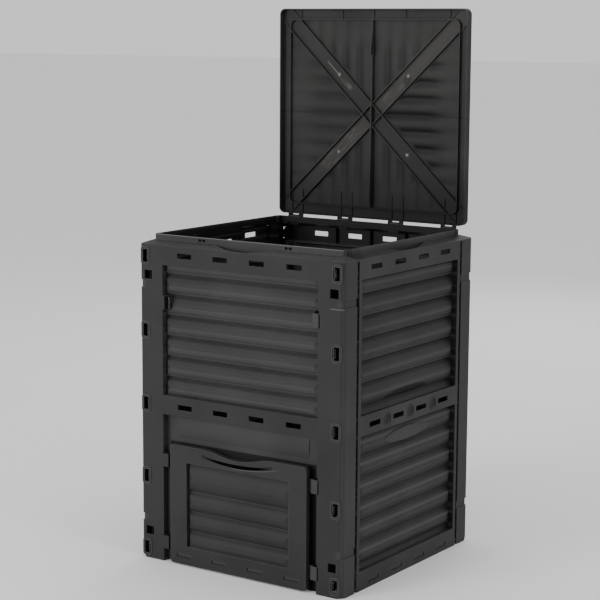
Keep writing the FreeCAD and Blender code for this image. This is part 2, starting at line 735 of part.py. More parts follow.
def make_front(shell):
    panel = end_panel_body(shell)
    panel = panel.cut(on_front(recess_gap(RECESS_HALF_FRONT, UPPER_LOW, UPPER_HIGH)))
    panel = panel.cut(on_front(recess_gap(RECESS_HALF_FRONT, -1, LOWER_HIGH)))
    panel = panel.fuse(on_front(tub(RECESS_HALF_FRONT, UPPER_LOW, UPPER_HIGH, FRONT_CREASE, FRONT_PITCH)))
    panel = panel.fuse(on_front(front_lower_wall()))
    panel = panel.multiFuse([on_front(clip) for clip in guide_clips()])
    panel = panel.fuse(on_front(grip_cup(GRIP_REACH, RIM_INSET_Y)))
    return panel.cut(on_front(grip_cut(GRIP_REACH, RIM_INSET_Y)))


def side_flange(end):
    """Flange behind the neighbour's wrap, with five hooks that snap into its corner slots."""
    edge = end * SIDE_HALF
    reach = end * FLANGE_REACH
    x0 = FLANGE_X - FLANGE_T
    y0, y1 = sorted((edge, reach))
    w0, w1 = sorted((edge, edge - end * TUB_WALL))
    pieces = [box(x0, FLANGE_X, min(y0, w0), max(y1, w1), FOOT_ROUND_H, FACE_TOP - WALL - 4)]
    pieces.append(box(x0, WIDTH / 2 - 1, w0, w1, 0, FACE_TOP - WALL))
    tip = end * (DEPTH / 2 - TONGUE_TIP)
    inner = SNAP_X - SNAP_WIDTH / 2
    barb = end * (DEPTH / 2 - TONGUE_TIP - BARB_T)
    for z in SNAP_HEIGHTS:
        tall = SNAP_HEIGHT / 2 - BORDER - SNAP_CLEAR
        t0, t1 = sorted((reach - end * 2, tip))
        pieces.append(box(inner + SNAP_CLEAR, inner + SNAP_CLEAR + TONGUE_T, t0, t1, z - tall, z + tall))
        h0, h1 = sorted((tip, barb))
        pieces.append(box(inner - SNAP_STEP / 2, inner + SNAP_CLEAR + 1, h0, h1, z - tall, z + tall))
        b0, b1 = sorted((edge, end * (WRAP_END - SNAP_CLEAR)))
        for step in (-0.5, 0.5):
            zb = z + step * BRIDGE_PITCH
            if BRIDGE_H < zb < FACE_TOP - 2 * BRIDGE_H:
                pieces.append(box(FLANGE_X - 1, WIDTH / 2 - 2, b0, b1, zb - BRIDGE_H / 2, zb + BRIDGE_H / 2))
    return pieces


def make_side(shell):
    """Side wall on +X."""
    panel = shell.common(side_sector(SIDE_HALF, MITRE_CLEAR, -1, RIM_TOP + 2))
    adds = [on_right(rib) for rib in band_ribs(UPPER_HIGH + TUB_WALL, FACE_TOP - WALL)]
    adds += [on_right(rib) for rib in band_ribs(LOWER_HIGH + TUB_WALL, UPPER_LOW - TUB_WALL)]
    adds += side_flange(1) + side_flange(-1)
    panel = panel.multiFuse(adds)
    cuts = band_slots(SIDE_SLOT_LENGTH, TOP_SLOT_Z) + band_slots(SIDE_SLOT_LENGTH, MID_SLOT_Z)
    cuts += band_scoops() + blind_marks(SIDE_SLOT_LENGTH, MARK_Z, 0)
    for low, high in ((UPPER_LOW, UPPER_HIGH), (LOWER_LOW, LOWER_HIGH)):
        cuts.append(recess_gap(RECESS_HALF_SIDE, low, high))
    panel = panel.cut(fused([on_right(c) for c in cuts]))
    panel = panel.fuse(on_right(tub(RECESS_HALF_SIDE, UPPER_LOW, UPPER_HIGH, SIDE_CREASE, SIDE_PITCH)))
    panel = panel.fuse(on_right(tub(RECESS_HALF_SIDE, LOWER_LOW, LOWER_HIGH, SIDE_CREASE_LOWER, SIDE_PITCH)))
    panel = panel.fuse(on_right(grip_cup(SIDE_GRIP_REACH, RIM_INSET_X)))
    panel = panel.cut(on_right(grip_cut(SIDE_GRIP_REACH, RIM_INSET_X)))
    boss_y = mitre(RIM_HALF_X, MITRE_CLEAR) - RIM_BOSS_R
    bosses = []
    low = SHOULDER_TOP - 3
    for end in (1, -1):
        place = V(RIM_HALF_X + RIM_BOSS_PROUD - RIM_BOSS_R, end * boss_y, low)
        bosses.append(Part.makeCylinder(RIM_BOSS_R, RIM_TOP - low, place, Z_AXIS))
    return panel.multiFuse(bosses)


def door_outline(grow, depth):
    """Outline of the hatch with the dip in its top edge, shrunk by a negative grow."""
    half = DOOR_HALF + grow
    low = DOOR_LOW - grow
    high = DOOR_HIGH + grow
    r = DOOR_CORNER_R + grow
    dip = DIP_DEPTH
    turn = r * (1 - math.sqrt(0.5))
    slope_r = (DIP_HALF ** 2 + dip ** 2) / (4 * dip)
    q_x = DIP_HALF / 4
    q_z = slope_r - math.sqrt(slope_r ** 2 - q_x ** 2)
    mid_x = DIP_HALF / 2
    mid_z = high - dip / 2

    def p(x, z):
        return V(x, depth, z)

    edges = [line(p(-half + r, low), p(half - r, low))]
    edges.append(arc(p(half - r, low), p(half - turn, low + turn), p(half, low + r)))
    edges.append(line(p(half, low + r), p(half, high - r)))
    edges.append(arc(p(half, high - r), p(half - turn, high - turn), p(half - r, high)))
    edges.append(line(p(half - r, high), p(DIP_HALF, high)))
    edges.append(arc(p(DIP_HALF, high), p(DIP_HALF - q_x, high - q_z), p(mid_x, mid_z)))
    edges.append(arc(p(mid_x, mid_z), p(0, high - dip), p(-mid_x, mid_z)))
    edges.append(arc(p(-mid_x, mid_z), p(-DIP_HALF + q_x, high - q_z), p(-DIP_HALF, high)))
    edges.append(line(p(-DIP_HALF, high), p(-half + r, high)))
    edges.append(arc(p(-half + r, high), p(-half + turn, high - turn), p(-half, high - r)))
    edges.append(line(p(-half, high - r), p(-half, low + r)))
    edges.append(arc(p(-half, low + r), p(-half + turn, low + turn), p(-half + r, low)))
    return Part.Face(Part.Wire(edges))


def make_door():
    """Hatch: a shallow tray with a corrugated middle, a finger slot and four lugs behind the clips."""
    face = -DOOR_PROUD
    tray = door_outline(0, face).extrude(V(0, DOOR_DEEP - face, 0))
    hollow = door_outline(-DOOR_WALL, face + DOOR_PLATE).extrude(V(0, DOOR_DEEP + 20, 0))
    door = tray.cut(hollow)
    rise = DOOR_RECESS_HIGH - DOOR_RECESS_LOW
    creases = crease_places(DOOR_RECESS_LOW, DOOR_RECESS_HIGH, DOOR_CREASE, DOOR_PITCH, rise)
    middle = corrugated_tub(DOOR_RECESS_HALF, DOOR_RECESS_LOW, DOOR_RECESS_HIGH, creases, DOOR_CREST_DEPTH,
                            DOOR_CREASE_DEPTH, DOOR_SHEET, DOOR_WALL, 0, DOOR_DEEP - face)
    middle.translate(V(0, face, 0))
    window = box(-DOOR_RECESS_HALF, DOOR_RECESS_HALF, face - 1, face + DOOR_PLATE + 1, DOOR_RECESS_LOW,
                 DOOR_RECESS_HIGH)
    door = door.cut(window).fuse(middle)
    a = V(-HANDLE_HALF, face - 1, DOOR_HIGH - HANDLE_END_DROP)
    b = V(HANDLE_HALF, face - 1, DOOR_HIGH - HANDLE_END_DROP)
    upper = arc(a, V(0, face - 1, DOOR_HIGH - HANDLE_TOP_DROP), b)
    lower = arc(b, V(0, face - 1, DOOR_HIGH - HANDLE_LOW_DROP), a)
    grip = Part.Face(Part.Wire([upper, lower])).extrude(V(0, DOOR_PLATE + 3, 0))
    door = door.cut(grip)
    for mark in blind_marks(SLOT_LENGTH, DOOR_LOW + DOOR_MARK_RISE, face):
        door = door.cut(mark)
    lugs = []
    near = CLIP_DEPTH + LUG_CLEAR
    far = RAIL_DEPTH - LUG_CLEAR
    tall = LUG_HEIGHT / 2
    for z in CLIP_Z:
        lugs.append(box(DOOR_HALF - DOOR_WALL, DOOR_HALF + LUG_REACH, near, far, z - tall, z + tall))
    return on_front(door.multiFuse(both_corners(lugs)))


def diagonal_wires():
    """Unit direction and length of the lid's cross bands."""
    reach_x = LID_HALF_X - LID_FRAME_INSET
    reach_y = LID_HALF_Y - LID_FRAME_INSET
    length = math.hypot(reach_x, reach_y)
    return reach_x / length, reach_y / length, length


def cross_bar(half_width, half_length, z0, z1, mirror):
    """Bar along a diagonal of the lid."""
    ux, uy, length = diagonal_wires()
    angle = math.degrees(math.atan2(uy, ux)) * mirror
    bar = box(-half_length, half_length, -half_width, half_width, z0, z1)
    bar.rotate(V(0, 0, 0), Z_AXIS, angle)
    return bar


def lid_ridges(shrink):
    """Pressed ridges in the four triangles between the cross bands, cut off along the bands."""
    ridges = []
    ux, uy, length = diagonal_wires()
    frame_x = LID_HALF_X - LID_FRAME_INSET - LID_RIDGE_EDGE
    frame_y = LID_HALF_Y - LID_FRAME_INSET - LID_RIDGE_EDGE
    half_w = LID_RIDGE_W / 2 - shrink / 2
    for turn, far, slope in ((0, frame_x, uy / ux), (90, frame_y, ux / uy)):
        start = (BAND_HALF + shrink) * math.hypot(1, slope) / slope
        tip = V(start, 0, -1)
        wide = (far - start) * slope
        triangle = prism([tip, V(far, -wide, -1), V(far, wide, -1)], V(0, 0, 3 * LID_RIDGE_H))
        count = int((wide - half_w - LID_RIDGE_RUN * slope) / LID_PITCH)
        for k in range(-count, count + 1):
            if turn and k == 0:
                continue
            crown = []
            for n in range(LID_RIDGE_FLATS + 1):
                a = math.pi * n / LID_RIDGE_FLATS
                crown.append(V(0, -half_w * math.cos(a), LID_RIDGE_H * math.sin(a)))
            bar = prism(crown, V(far, 0, 0))
            fade = prism([V(0, -half_w - 1, 0), V(far, -half_w - 1, 0),
                          V(far - LID_RIDGE_RUN, -half_w - 1, LID_RIDGE_H + 1),
                          V(0, -half_w - 1, LID_RIDGE_H + 1)], V(0, 2 * half_w + 2, 0))
            bar = bar.common(fade)
            bar.translate(V(0, k * LID_PITCH, 0))
            bar = bar.common(triangle)
            for end in (0, 180):
                ridge = bar.copy()
                ridge.rotate(V(0, 0, 0), Z_AXIS, turn + end)
                ridges.append(ridge)
    return ridges


def lid_arm(x0):
    """Arm that carries a hinge eye behind the lid's back skirt."""
    outline = [V(x0, LID_HALF_Y - LID_WALL, LID_TOP - 1), V(x0, LID_HALF_Y - LID_WALL, LID_SKIRT_LOW)]
    outline += hinge_round(x0, -90, 90)
    web = prism(outline, V(ARM_T, 0, 0))
    bore = Part.makeCylinder(PIN_R + PIN_CLEAR, ARM_T + 2, V(x0 - 1, HINGE_Y, HINGE_Z), X_AXIS)
    return web.cut(bore)


def make_lid():
    """Lid, shut: plate with a skirt, cross bands between ribs, pressed ridges and hinge arms."""
    plate = rounded_prism(LID_HALF_X, LID_HALF_Y, LID_CORNER_R, LID_SKIRT_LOW, LID_TOP)
    room = rounded_prism(LID_HALF_X - LID_WALL, LID_HALF_Y - LID_WALL, LID_CORNER_R - LID_WALL,
                         LID_SKIRT_LOW - 1, LID_UNDER)
    shell = plate.cut(room)
    t = LID_RIB_T
    z0 = LID_UNDER - LID_RIB_H
    z1 = LID_UNDER + 1
    fx = LID_HALF_X - LID_FRAME_INSET
    fy = LID_HALF_Y - LID_FRAME_INSET
    inside = rounded_prism(fx, fy, LID_FRAME_R, z0, z1)
    frame = inside.cut(rounded_prism(fx - t, fy - t, LID_FRAME_R - t, z0 - 1, z1 + 1))
    whole = rounded_prism(LID_HALF_X - 1, LID_HALF_Y - 1, LID_CORNER_R - 1, LID_SEAT, z1)
    ribs = [frame]
    ux, uy, length = diagonal_wires()
    for mirror in (1, -1):
        outer = cross_bar(BAND_HALF, length + 2 * BAND_HALF, z0, z1, mirror)
        inner = cross_bar(BAND_HALF - t, length + 3 * BAND_HALF, z0 - 1, z1 + 1, mirror)
        edges = outer.cut(inner)
        ribs += [edges.common(inside), edges.common(whole)]
    ribs.append(box(-t / 2, t / 2, -fy, fy, z0, z1))
    ribs.append(box(-fx, fx, -t / 2, t / 2, LID_UNDER - FINE_RIB_H, z1))
    for x in (-STRIP_RIB_OUTER, -STRIP_RIB_INNER, 0, STRIP_RIB_INNER, STRIP_RIB_OUTER):
        ribs.append(box(x - t / 2, x + t / 2, -LID_HALF_Y + 1, -fy + 1, LID_SEAT, z1))
    for x in HINGE_PLACES:
        for side in (-1, 1):
            xc = x + side * (KNUCKLE_WIDTH / 2 + ARM_CLEAR + ARM_T / 2)
            ribs.append(box(xc - t / 2, xc + t / 2, fy - HINGE_RIB_RUN, LID_HALF_Y - 1, LID_SEAT, z1))
            ribs.append(lid_arm(xc - ARM_T / 2))
    for x in (-CATCH_X, CATCH_X):
        y = -LID_HALF_Y + LID_WALL
        ribs.append(box(x - CATCH_WIDTH / 2, x + CATCH_WIDTH / 2, y - 1, y + CATCH_PROUD, LID_SKIRT_LOW + 2,
                        LID_SKIRT_LOW + 10))
    lid = shell.multiFuse(ribs)
    raised = lid_ridges(0)
    for ridge in raised:
        ridge.translate(V(0, 0, LID_TOP - 0.01))
    sunk = lid_ridges(LID_PLATE)
    for ridge in sunk:
        ridge.translate(V(0, 0, LID_UNDER - 0.01))
    lid = lid.multiFuse(raised).cut(fused(sunk))
    lid.rotate(V(0, HINGE_Y, HINGE_Z), X_AXIS, -OPEN_ANGLE)
    return lid


def save(name, shape):
    """Write one node, moved so that the bounding box is centred on Y."""
    moved = shape.copy()
    moved.translate(V(0, SHIFT_Y, 0))
    solids = moved.Solids
    if len(solids) != 1:
        raise RuntimeError("%s has %d solids" % (name, len(solids)))
    solid = solids[0]
    if not solid.isValid():
        raise RuntimeError(name + " is not valid")
    solid.exportStep("parts/%s.step" % name)
    bb = solid.BoundBox
    print(name, "volume cm3 %.1f" % (solid.Volume / 1000), "faces", len(solid.Faces),
          "x %.1f..%.1f y %.1f..%.1f z %.1f..%.1f" % (bb.XMin, bb.XMax, bb.YMin, bb.YMax, bb.ZMin, bb.ZMax))


def main():
    os.makedirs("parts", exist_ok=True)
    shell = body_shell()
    save("front_panel", make_front(shell))
    save("back_panel", make_back(shell))
    right = make_side(shell)
    save("right_panel", right)
    left = right.copy()
    left.rotate(V(0, 0, 0), Z_AXIS, 180)
    save("left_panel", left)
    save("hatch_door", make_door())
    save("lid", make_lid())
    print("shift in y %.2f" % SHIFT_Y)


main()
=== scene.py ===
"""Looks of the black plastic compost bin: moulded plastic, pressed and snapped details, studio and camera."""
import bmesh
import bpy
import json
import math
from mathutils import Matrix, Vector
from mathutils.bvhtree import BVHTree

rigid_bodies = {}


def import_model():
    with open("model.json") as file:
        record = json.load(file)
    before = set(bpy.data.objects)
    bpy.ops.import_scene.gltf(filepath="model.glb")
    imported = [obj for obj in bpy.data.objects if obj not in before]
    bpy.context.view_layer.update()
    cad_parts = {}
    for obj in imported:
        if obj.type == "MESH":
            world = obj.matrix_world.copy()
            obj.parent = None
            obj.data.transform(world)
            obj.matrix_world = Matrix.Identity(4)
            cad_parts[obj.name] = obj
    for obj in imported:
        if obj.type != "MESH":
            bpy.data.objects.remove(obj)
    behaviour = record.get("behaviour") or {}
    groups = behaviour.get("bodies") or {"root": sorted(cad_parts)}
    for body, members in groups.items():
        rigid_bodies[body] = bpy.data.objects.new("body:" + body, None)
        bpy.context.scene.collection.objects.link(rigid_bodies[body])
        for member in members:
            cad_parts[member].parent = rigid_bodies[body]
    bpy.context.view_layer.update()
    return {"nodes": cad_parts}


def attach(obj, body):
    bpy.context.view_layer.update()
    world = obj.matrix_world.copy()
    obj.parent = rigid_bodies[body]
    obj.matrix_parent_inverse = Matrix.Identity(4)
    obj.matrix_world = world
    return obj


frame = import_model()
nodes = frame["nodes"]


def grey(value, warm=0.0):
    return (value * (1 + warm), value, value * (1 - warm), 1)


# Camera as fitted to the photograph: metres, radians, and pixels of the frame
CAMERA_PLACE = (2.45228, -3.63337, 1.34057)
CAMERA_YAW = 0.5986
CAMERA_PITCH = 0.1555
CAMERA_ROLL = 0.0057
FOCAL_PIXELS = 1738.88
FRAME_PIXELS = 600
SENSOR_MM = 36.0

# Places taken from the bin's own sizes, metres; Y_SHIFT centres the bin with its open lid
Y_SHIFT = 0.00125
WALL_FACE = 0.305
HATCH_FACE = -0.311 + Y_SHIFT
RIM_FACE = -0.271 + Y_SHIFT
SLOT_SPACING = 0.109
FRONT_PITCH = 0.052
SIDE_PITCH = 0.054
CLIP_FACE = -WALL_FACE + Y_SHIFT
CLIP_HEIGHTS = (0.051, 0.264, 0.664)
RIM_TOP = 0.830
INSIDE_X = 0.2816
INSIDE_Y = 0.2686
TOP_SLOTS = (0.7620, 0.8040)
LEDGE = (0.6945, 0.6962)

# The front wall's board field and the painted shade on the wall behind the hatch
FIELD_HALF = 0.2320
FIELD_HEIGHTS = (0.432, 0.756)
FIELD_DEPTHS = (-0.3030, -0.2600)
HATCH_SHADE_HALF = 0.221
HATCH_SHADE_TOP = 0.3125
HATCH_SHADE_DEPTHS = (-0.3012, -0.2450)

# Blind marks along the walls' feet: middle height, half length and half height
MARK_MIDDLE = 0.018
MARK_HALF_LENGTH = 0.0213
MARK_HALF_HEIGHT = 0.0039
SIDE_MARK_HALF_LENGTH = 0.0243
HATCH_MARK_MIDDLE = 0.0265

# Side walls: where the snap hooks start, the parting of the two fields, the round dents between the slots
HOOK_START = 0.2402
FIELD_PARTING = 0.3990
DENT_HEIGHT = 0.406
DENT_HALF_LENGTH = 0.019
DENT_HALF_HEIGHT = 0.020

# The hatch's finger slot, bowed upwards towards its ends
HANDLE_HALF = 0.098
HANDLE_MIDDLE = 0.280
HANDLE_BOW = 0.0095

# Bare plates of the side walls and catch marks of the rim
PLATE_HALF = 0.107
PLATE_PROUD = 0.0018
UPPER_PLATE = (0.457, 0.020)
LOWER_PLATE = (0.350, 0.032)
CATCH_HEIGHT = 0.8222
CATCHES = (("rim_catch_left", -0.1345), ("rim_catch_right", 0.1235))

# The lid as it stands open: its middle, and the plane of its inner face
LID_MIDDLE_Z = 1.1135
LID_INNER_Y = 0.2995 + Y_SHIFT
LID_FRAME_X = 0.2605
LID_FRAME_Y = 0.2475
BAND_HALF = 0.022
BAND_RUN = (0.7248, 0.6889)
FLUTE_PITCH = 0.0437
FLUTE_EDGE = 0.0215
FLUTE_CLEAR = 0.0004

# Deeper stretches of the lid's middle rib: place along the shut lid, height over its inner face
LID_FRONT_FIN = ((-0.2465, -0.001), (-0.2465, 0.006), (-0.178, 0.016), (-0.160, 0.017), (-0.156, 0.007),
                 (-0.155, -0.001))
LID_REAR_FIN = ((-0.048, -0.001), (-0.047, 0.008), (-0.035, 0.0125), (0.225, 0.015), (0.2465, 0.010),
                (0.2465, -0.001))

# Stripes along the boards of a wall, painted as highlight or as shade: start, end and fade in mm down from the
# crease, and strength. The painted highlight lies along a board's crest and along the lip over the next crease
FRONT_PAINTED_HIGHLIGHT = ((31, 36, 3, 0.30), (47, 52, 3, 0.75))
FRONT_PAINTED_SHADE = ((22, 27, 3, 0.40),)
UPPER_PAINTED_HIGHLIGHT = ((0, 3, 3, 0.32), (30, 32, 3, 0.47), (51, 54, 2, 0.76))
UPPER_PAINTED_SHADE = ((11, 24, 3, 0.33), (37, 46, 3, 0.70))
LOWER_PAINTED_HIGHLIGHT = ((0, 9, 3, 0.50), (22, 26, 3, 0.95))
LOWER_PAINTED_SHADE = ((42, 48, 3, 0.68),)
FRONT_CREASE = 0.735
UPPER_CREASE = 0.720
LOWER_CREASE = 0.333

# A dull spot beside the upper right gate
LID_STAIN = (0.104, LID_INNER_Y, LID_MIDDLE_Z + 0.088)

# Studio
FLOOR_HALF = 60.0
FLOOR_COLOUR = (0.88, 0.88, 0.88, 1)
SKY_COLOUR = (1, 1, 1, 1)
SKY_STRENGTH = 0.9


class Wire:
    """A number on a socket, used in plain arithmetic."""

    def __init__(self, paint, socket):
        self.paint = paint
        self.socket = socket

    def _join(self, operation, a, b):
        return self.paint.node("ShaderNodeMath", {"operation": operation}, {0: a, 1: b})

    def __add__(self, other):
        return self._join("ADD", self, other)

    __radd__ = __add__

    def __sub__(self, other):
        return self._join("SUBTRACT", self, other)

    def __rsub__(self, other):
        return self._join("SUBTRACT", other, self)

    def __mul__(self, other):
        return self._join("MULTIPLY", self, other)

    __rmul__ = __mul__

    def __truediv__(self, other):
        return self._join("DIVIDE", self, other)

    def __pow__(self, other):
        return self._join("POWER", self, other)

    def size(self):
        return self.paint.node("ShaderNodeMath", {"operation": "ABSOLUTE"}, {0: self})

    def cosine(self):
        return self.paint.node("ShaderNodeMath", {"operation": "COSINE"}, {0: self})

    def fraction(self):
        return self.paint.node("ShaderNodeMath", {"operation": "FRACT"}, {0: self})


class Net:
    """A node tree and the one call that adds a node to it."""

    def node(self, kind, settings=None, inputs=None, output=0):
        made = self.tree.nodes.new(kind)
        for key, value in (settings or {}).items():
            setattr(made, key, value)
        for key, value in (inputs or {}).items():
            if isinstance(value, Wire):
                self.tree.links.new(value.socket, made.inputs[key])
            else:
                made.inputs[key].default_value = value
        return Wire(self, made.outputs[output])

    def ramp(self, value, low, high):
        """0 below low, 1 above high, smooth between."""
        return self.node("ShaderNodeMapRange", {"interpolation_type": "SMOOTHSTEP"},
                         {"Value": value, "From Min": low, "From Max": high})

    def within(self, value, low, high, soft):
        """1 between low and high, fading out over soft at both ends."""
        return self.ramp(value, low - soft, low) * (1 - self.ramp(value, high, high + soft))

    def axes(self, vector):
        made = self.tree.nodes.new("ShaderNodeSeparateXYZ")
        self.tree.links.new(vector.socket, made.inputs[0])
        return [Wire(self, made.outputs[k]) for k in range(3)]


class Paint(Net):
    """One material and its nodes."""

    def __init__(self, name):
        self.material = bpy.data.materials.new(name)
        self.material.use_nodes = True
        self.tree = self.material.node_tree
        self.tree.nodes.clear()

    def noise(self, place, scale, detail, roughness=0.5):
        return self.node("ShaderNodeTexNoise", {}, {"Vector": place, "Scale": scale, "Detail": detail,
                                                    "Roughness": roughness})

    def mix(self, factor, a, b):
        return self.node("ShaderNodeMix", {"data_type": "RGBA"}, {0: factor, 6: a, 7: b}, 2)

    def place(self, scale=(1, 1, 1), turn=(0, 0, 0), shift=(0, 0, 0)):
        raw = self.node("ShaderNodeTexCoord", {}, {}, "Object")
        return self.node("ShaderNodeMapping", {}, {"Vector": raw, "Scale": scale, "Rotation": turn,
                                                   "Location": shift})

    def streaks(self, angle, length, width):
        """Noise drawn out along one direction of the XZ plane."""
        raw = self.node("ShaderNodeTexCoord", {}, {}, "Object")
        drawn = self.node("ShaderNodeMapping", {"vector_type": "TEXTURE"},
                          {"Vector": raw, "Rotation": (0, angle, 0), "Scale": (length, 1, width)})
        return self.noise(drawn, 1.0, 3.0, 0.6)

    def finish(self, **inputs):
        shader = self.node("ShaderNodeBsdfPrincipled", {}, {k.replace("_", " "): v for k, v in inputs.items()})
        out = self.tree.nodes.new("ShaderNodeOutputMaterial")
        self.tree.links.new(shader.socket, out.inputs["Surface"])
        return self.material


class Grown(Net):
    """A geometry tree with named inputs, turned into a plain mesh."""

    def __init__(self, name, kinds):
        self.tree = bpy.data.node_groups.new(name, "GeometryNodeTree")
        self.tree.interface.new_socket("Geometry", in_out="OUTPUT", socket_type="NodeSocketGeometry")
        self.ids = {}
        for title, kind in kinds.items():
            made = self.tree.interface.new_socket(title, in_out="INPUT", socket_type="NodeSocket" + kind)
            self.ids[title] = made.identifier
        self.given = self.tree.nodes.new("NodeGroupInput")
        self.result = self.tree.nodes.new("NodeGroupOutput")

    def size(self, title):
        return Wire(self, self.given.outputs[title])

    def end(self, shape, material):
        real = self.node("GeometryNodeRealizeInstances", {}, {0: shape})
        done = self.node("GeometryNodeSetMaterial", {}, {"Geometry": real, "Material": material})
        self.tree.links.new(done.socket, self.result.inputs[0])

    def join(self, shapes):
        made = self.tree.nodes.new("GeometryNodeJoinGeometry")
        for shape in shapes:
            self.tree.links.new(shape.socket, made.inputs[0])
        return Wire(self, made.outputs[0])

    def make(self, name, sizes, thick=0.0):
        """Run the tree with these sizes; thick gives an open sheet its back."""
        carrier = bpy.data.objects.new(name + "_seed", bpy.data.meshes.new(name + "_seed"))
        bpy.context.scene.collection.objects.link(carrier)
        run = carrier.modifiers.new("grow", "NODES")
        run.node_group = self.tree
        for title, value in sizes.items():
            run[self.ids[title]] = value
        if thick:
            back = carrier.modifiers.new("back", "SOLIDIFY")
            back.thickness = thick
            back.offset = -1
        view = bpy.context.evaluated_depsgraph_get()
        mesh = bpy.data.meshes.new_from_object(carrier.evaluated_get(view), depsgraph=view)
        mesh.name = name
        bpy.data.objects.remove(carrier)
        made = bpy.data.objects.new(name, mesh)
        bpy.context.scene.collection.objects.link(made)
        return made


def moulded_plastic(name, dark, light, gloss, seed, edge_radius=0.0012, painted_edge_highlight=0.55, shine=0.16,
                    marks=None):
    """Black polypropylene: fine moulded grain, faint flow clouds, shinier on its edges and a painted highlight
    along them.
    """
    p = Paint(name)
    place = p.place(shift=(seed, seed * 1.7, 0))
    clouds = p.noise(place, 5.0, 3.0)
    specks = p.noise(place, 140.0, 2.0)
    flow = p.noise(p.place(scale=(3, 3, 14), shift=(seed, 0, 0)), 3.0, 3.0)
    grain = p.noise(place, 1500.0, 2.0)
    soft = p.node("ShaderNodeBevel", {"samples": 4}, {"Radius": edge_radius})
    hard = p.node("ShaderNodeNewGeometry", {}, {}, "Normal")
    along = p.node("ShaderNodeVectorMath", {"operation": "DOT_PRODUCT"}, {0: soft, 1: hard}, "Value")
    edge = p.ramp(1 - along, 0.004, 0.10)
    up = p.node("ShaderNodeSeparateXYZ", {}, {0: hard}, "Z")
    dust = p.ramp(up, 0.6, 1.0) * p.ramp(specks, 0.42, 0.7)
    base = p.mix(p.ramp(clouds, 0.35, 0.68), dark, light)
    # painted highlight: colour lightened along edges found by the bevel
    base = p.mix(edge * painted_edge_highlight, base, grey(0.12))
    base = p.mix(dust * 0.18, base, grey(0.16, 0.03))
    height = clouds
    if marks:
        base, height = marks(p, base, height)
    rough = gloss + 0.10 * flow + 0.08 * specks - 0.10 * edge + 0.12 * dust
    bump = p.node("ShaderNodeBump", {}, {"Strength": 0.35, "Distance": 0.00012, "Height": grain,
                                         "Normal": soft})
    wave = p.node("ShaderNodeBump", {}, {"Strength": 0.25, "Distance": 0.004, "Height": height,
                                         "Normal": bump})
    return p.finish(Base_Color=base, Roughness=rough, Normal=wave, IOR=1.49, Specular_IOR_Level=shine)


def lid_marks(p, base, height):
    """Rub marks on the lid's cross bands, the fine moulding line through its middle, and painted shade towards
    its lower edge.
    """
    x, y, z = p.axes(p.place())
    up = z - LID_MIDDLE_Z
    ux, uz = BAND_RUN
    facing = p.axes(p.node("ShaderNodeNewGeometry", {}, {}, "Normal"))[1]
    inner = p.ramp(facing * -1.0, 0.7, 0.95)
    rise = x * ux + up * uz
    beside_rise = (up * ux - x * uz).size()
    fall = up * uz - x * ux
    beside_fall = (up * ux + x * uz).size()
    on_rise = 1 - p.ramp(beside_rise, 0.015, 0.021)
    turn = math.atan2(uz, ux)
    drag_rise = p.ramp(p.streaks(-turn, 0.05, 0.004), 0.45, 0.72)
    drag_fall = p.ramp(p.streaks(turn - math.pi, 0.05, 0.004), 0.45, 0.72)
    low_left = p.within(rise, -0.205, -0.075, 0.02) * on_rise * drag_rise
    high_right = p.within(rise, 0.055, 0.125, 0.03) * on_rise * drag_rise
    high_left = p.within(fall, 0.100, 0.135, 0.008) * (1 - p.ramp(beside_fall, 0.003, 0.007)) * drag_fall
    scratch = p.within(fall, 0.155, 0.195, 0.008) * (1 - p.ramp(beside_fall, 0.0006, 0.0016))
    bare = (1 - p.ramp(beside_rise, 0.0205, 0.022)) * p.ramp(rise.size(), 0.02, 0.03)
    base = p.mix(bare * inner * 0.30, base, grey(0.055, 0.05))
    base = p.mix(low_left * inner * 0.70, base, grey(0.095, 0.06))
    base = p.mix(high_right * inner * 0.55, base, grey(0.085, 0.05))
    base = p.mix(high_left * inner * 0.8, base, grey(0.16, 0.05))
    base = p.mix(scratch * inner * 0.7, base, grey(0.17, 0.05))
    stain = p.node("ShaderNodeVectorMath", {"operation": "DISTANCE"}, {0: p.place(), 1: LID_STAIN}, "Value")
    base = p.mix((1 - p.ramp(stain, 0.006, 0.020)) * inner * 0.55, base, grey(0.010))
    line = 1 - p.ramp(up.size(), 0.0011, 0.0016)
    base = p.mix(line * 0.7, base, grey(0.006))
    # painted shade: darker towards the lid's lower edge, next to the bin
    return p.mix(p.ramp(up * -1.0, 0.08, 0.25) * 0.80, base, grey(0.005)), height


def shaded_flute_marks(p, base, height):
    """Painted shade in the flutes' troughs, darker the deeper they go; on the lid's right it is stronger, along
    each trough's upper side.
    """
    base, height = lid_marks(p, base, height)
    x, y, z = p.axes(p.place())
    up = z - LID_MIDDLE_Z
    deep = p.ramp(y, LID_INNER_Y - 0.0012, LID_INNER_Y + 0.0022)
    right = p.ramp(x, 0.02, 0.06) * (1 - p.ramp(up.size() / x.size(), 0.93, 0.97))
    upper = ((up - 0.006) / FLUTE_PITCH * (2 * math.pi)).cosine() * 0.5 + 0.5
    # painted shade: the deeper in a trough, the darker
    return p.mix(deep * (0.50 * (1 - right) + 0.95 * right * upper ** 2.0), base, grey(0.003)), height


def wall_tones(p, base, x, y, z):
    """The flat faces are duller than the boards; painted shade darkens the slots of the top band and the inside
    of the bin.
    """
    beside = x.size()
    before = (y - Y_SHIFT).size()
    flat = p.ramp(before, WALL_FACE - 0.0022, WALL_FACE - 0.0010)
    base = p.mix(flat * 0.38, base, grey(0.002))
    inside = (1 - p.ramp(beside, INSIDE_X, INSIDE_X + 0.0008)) * (1 - p.ramp(before, INSIDE_Y, INSIDE_Y + 0.0008))
    low, high = WALL_FACE - 0.0038, WALL_FACE - 0.0024
    sunk = (1 - p.ramp(beside, low, high)) * (1 - p.ramp(before, low, high))
    # painted shade in the slots of the top band
    slots = sunk * p.within(z, *TOP_SLOTS, 0.001)
    base = p.mix(slots * 0.92, base, grey(0.001))
    # painted shade on the inside of the bin
    return p.mix(inside * 0.80, base, grey(0.002))


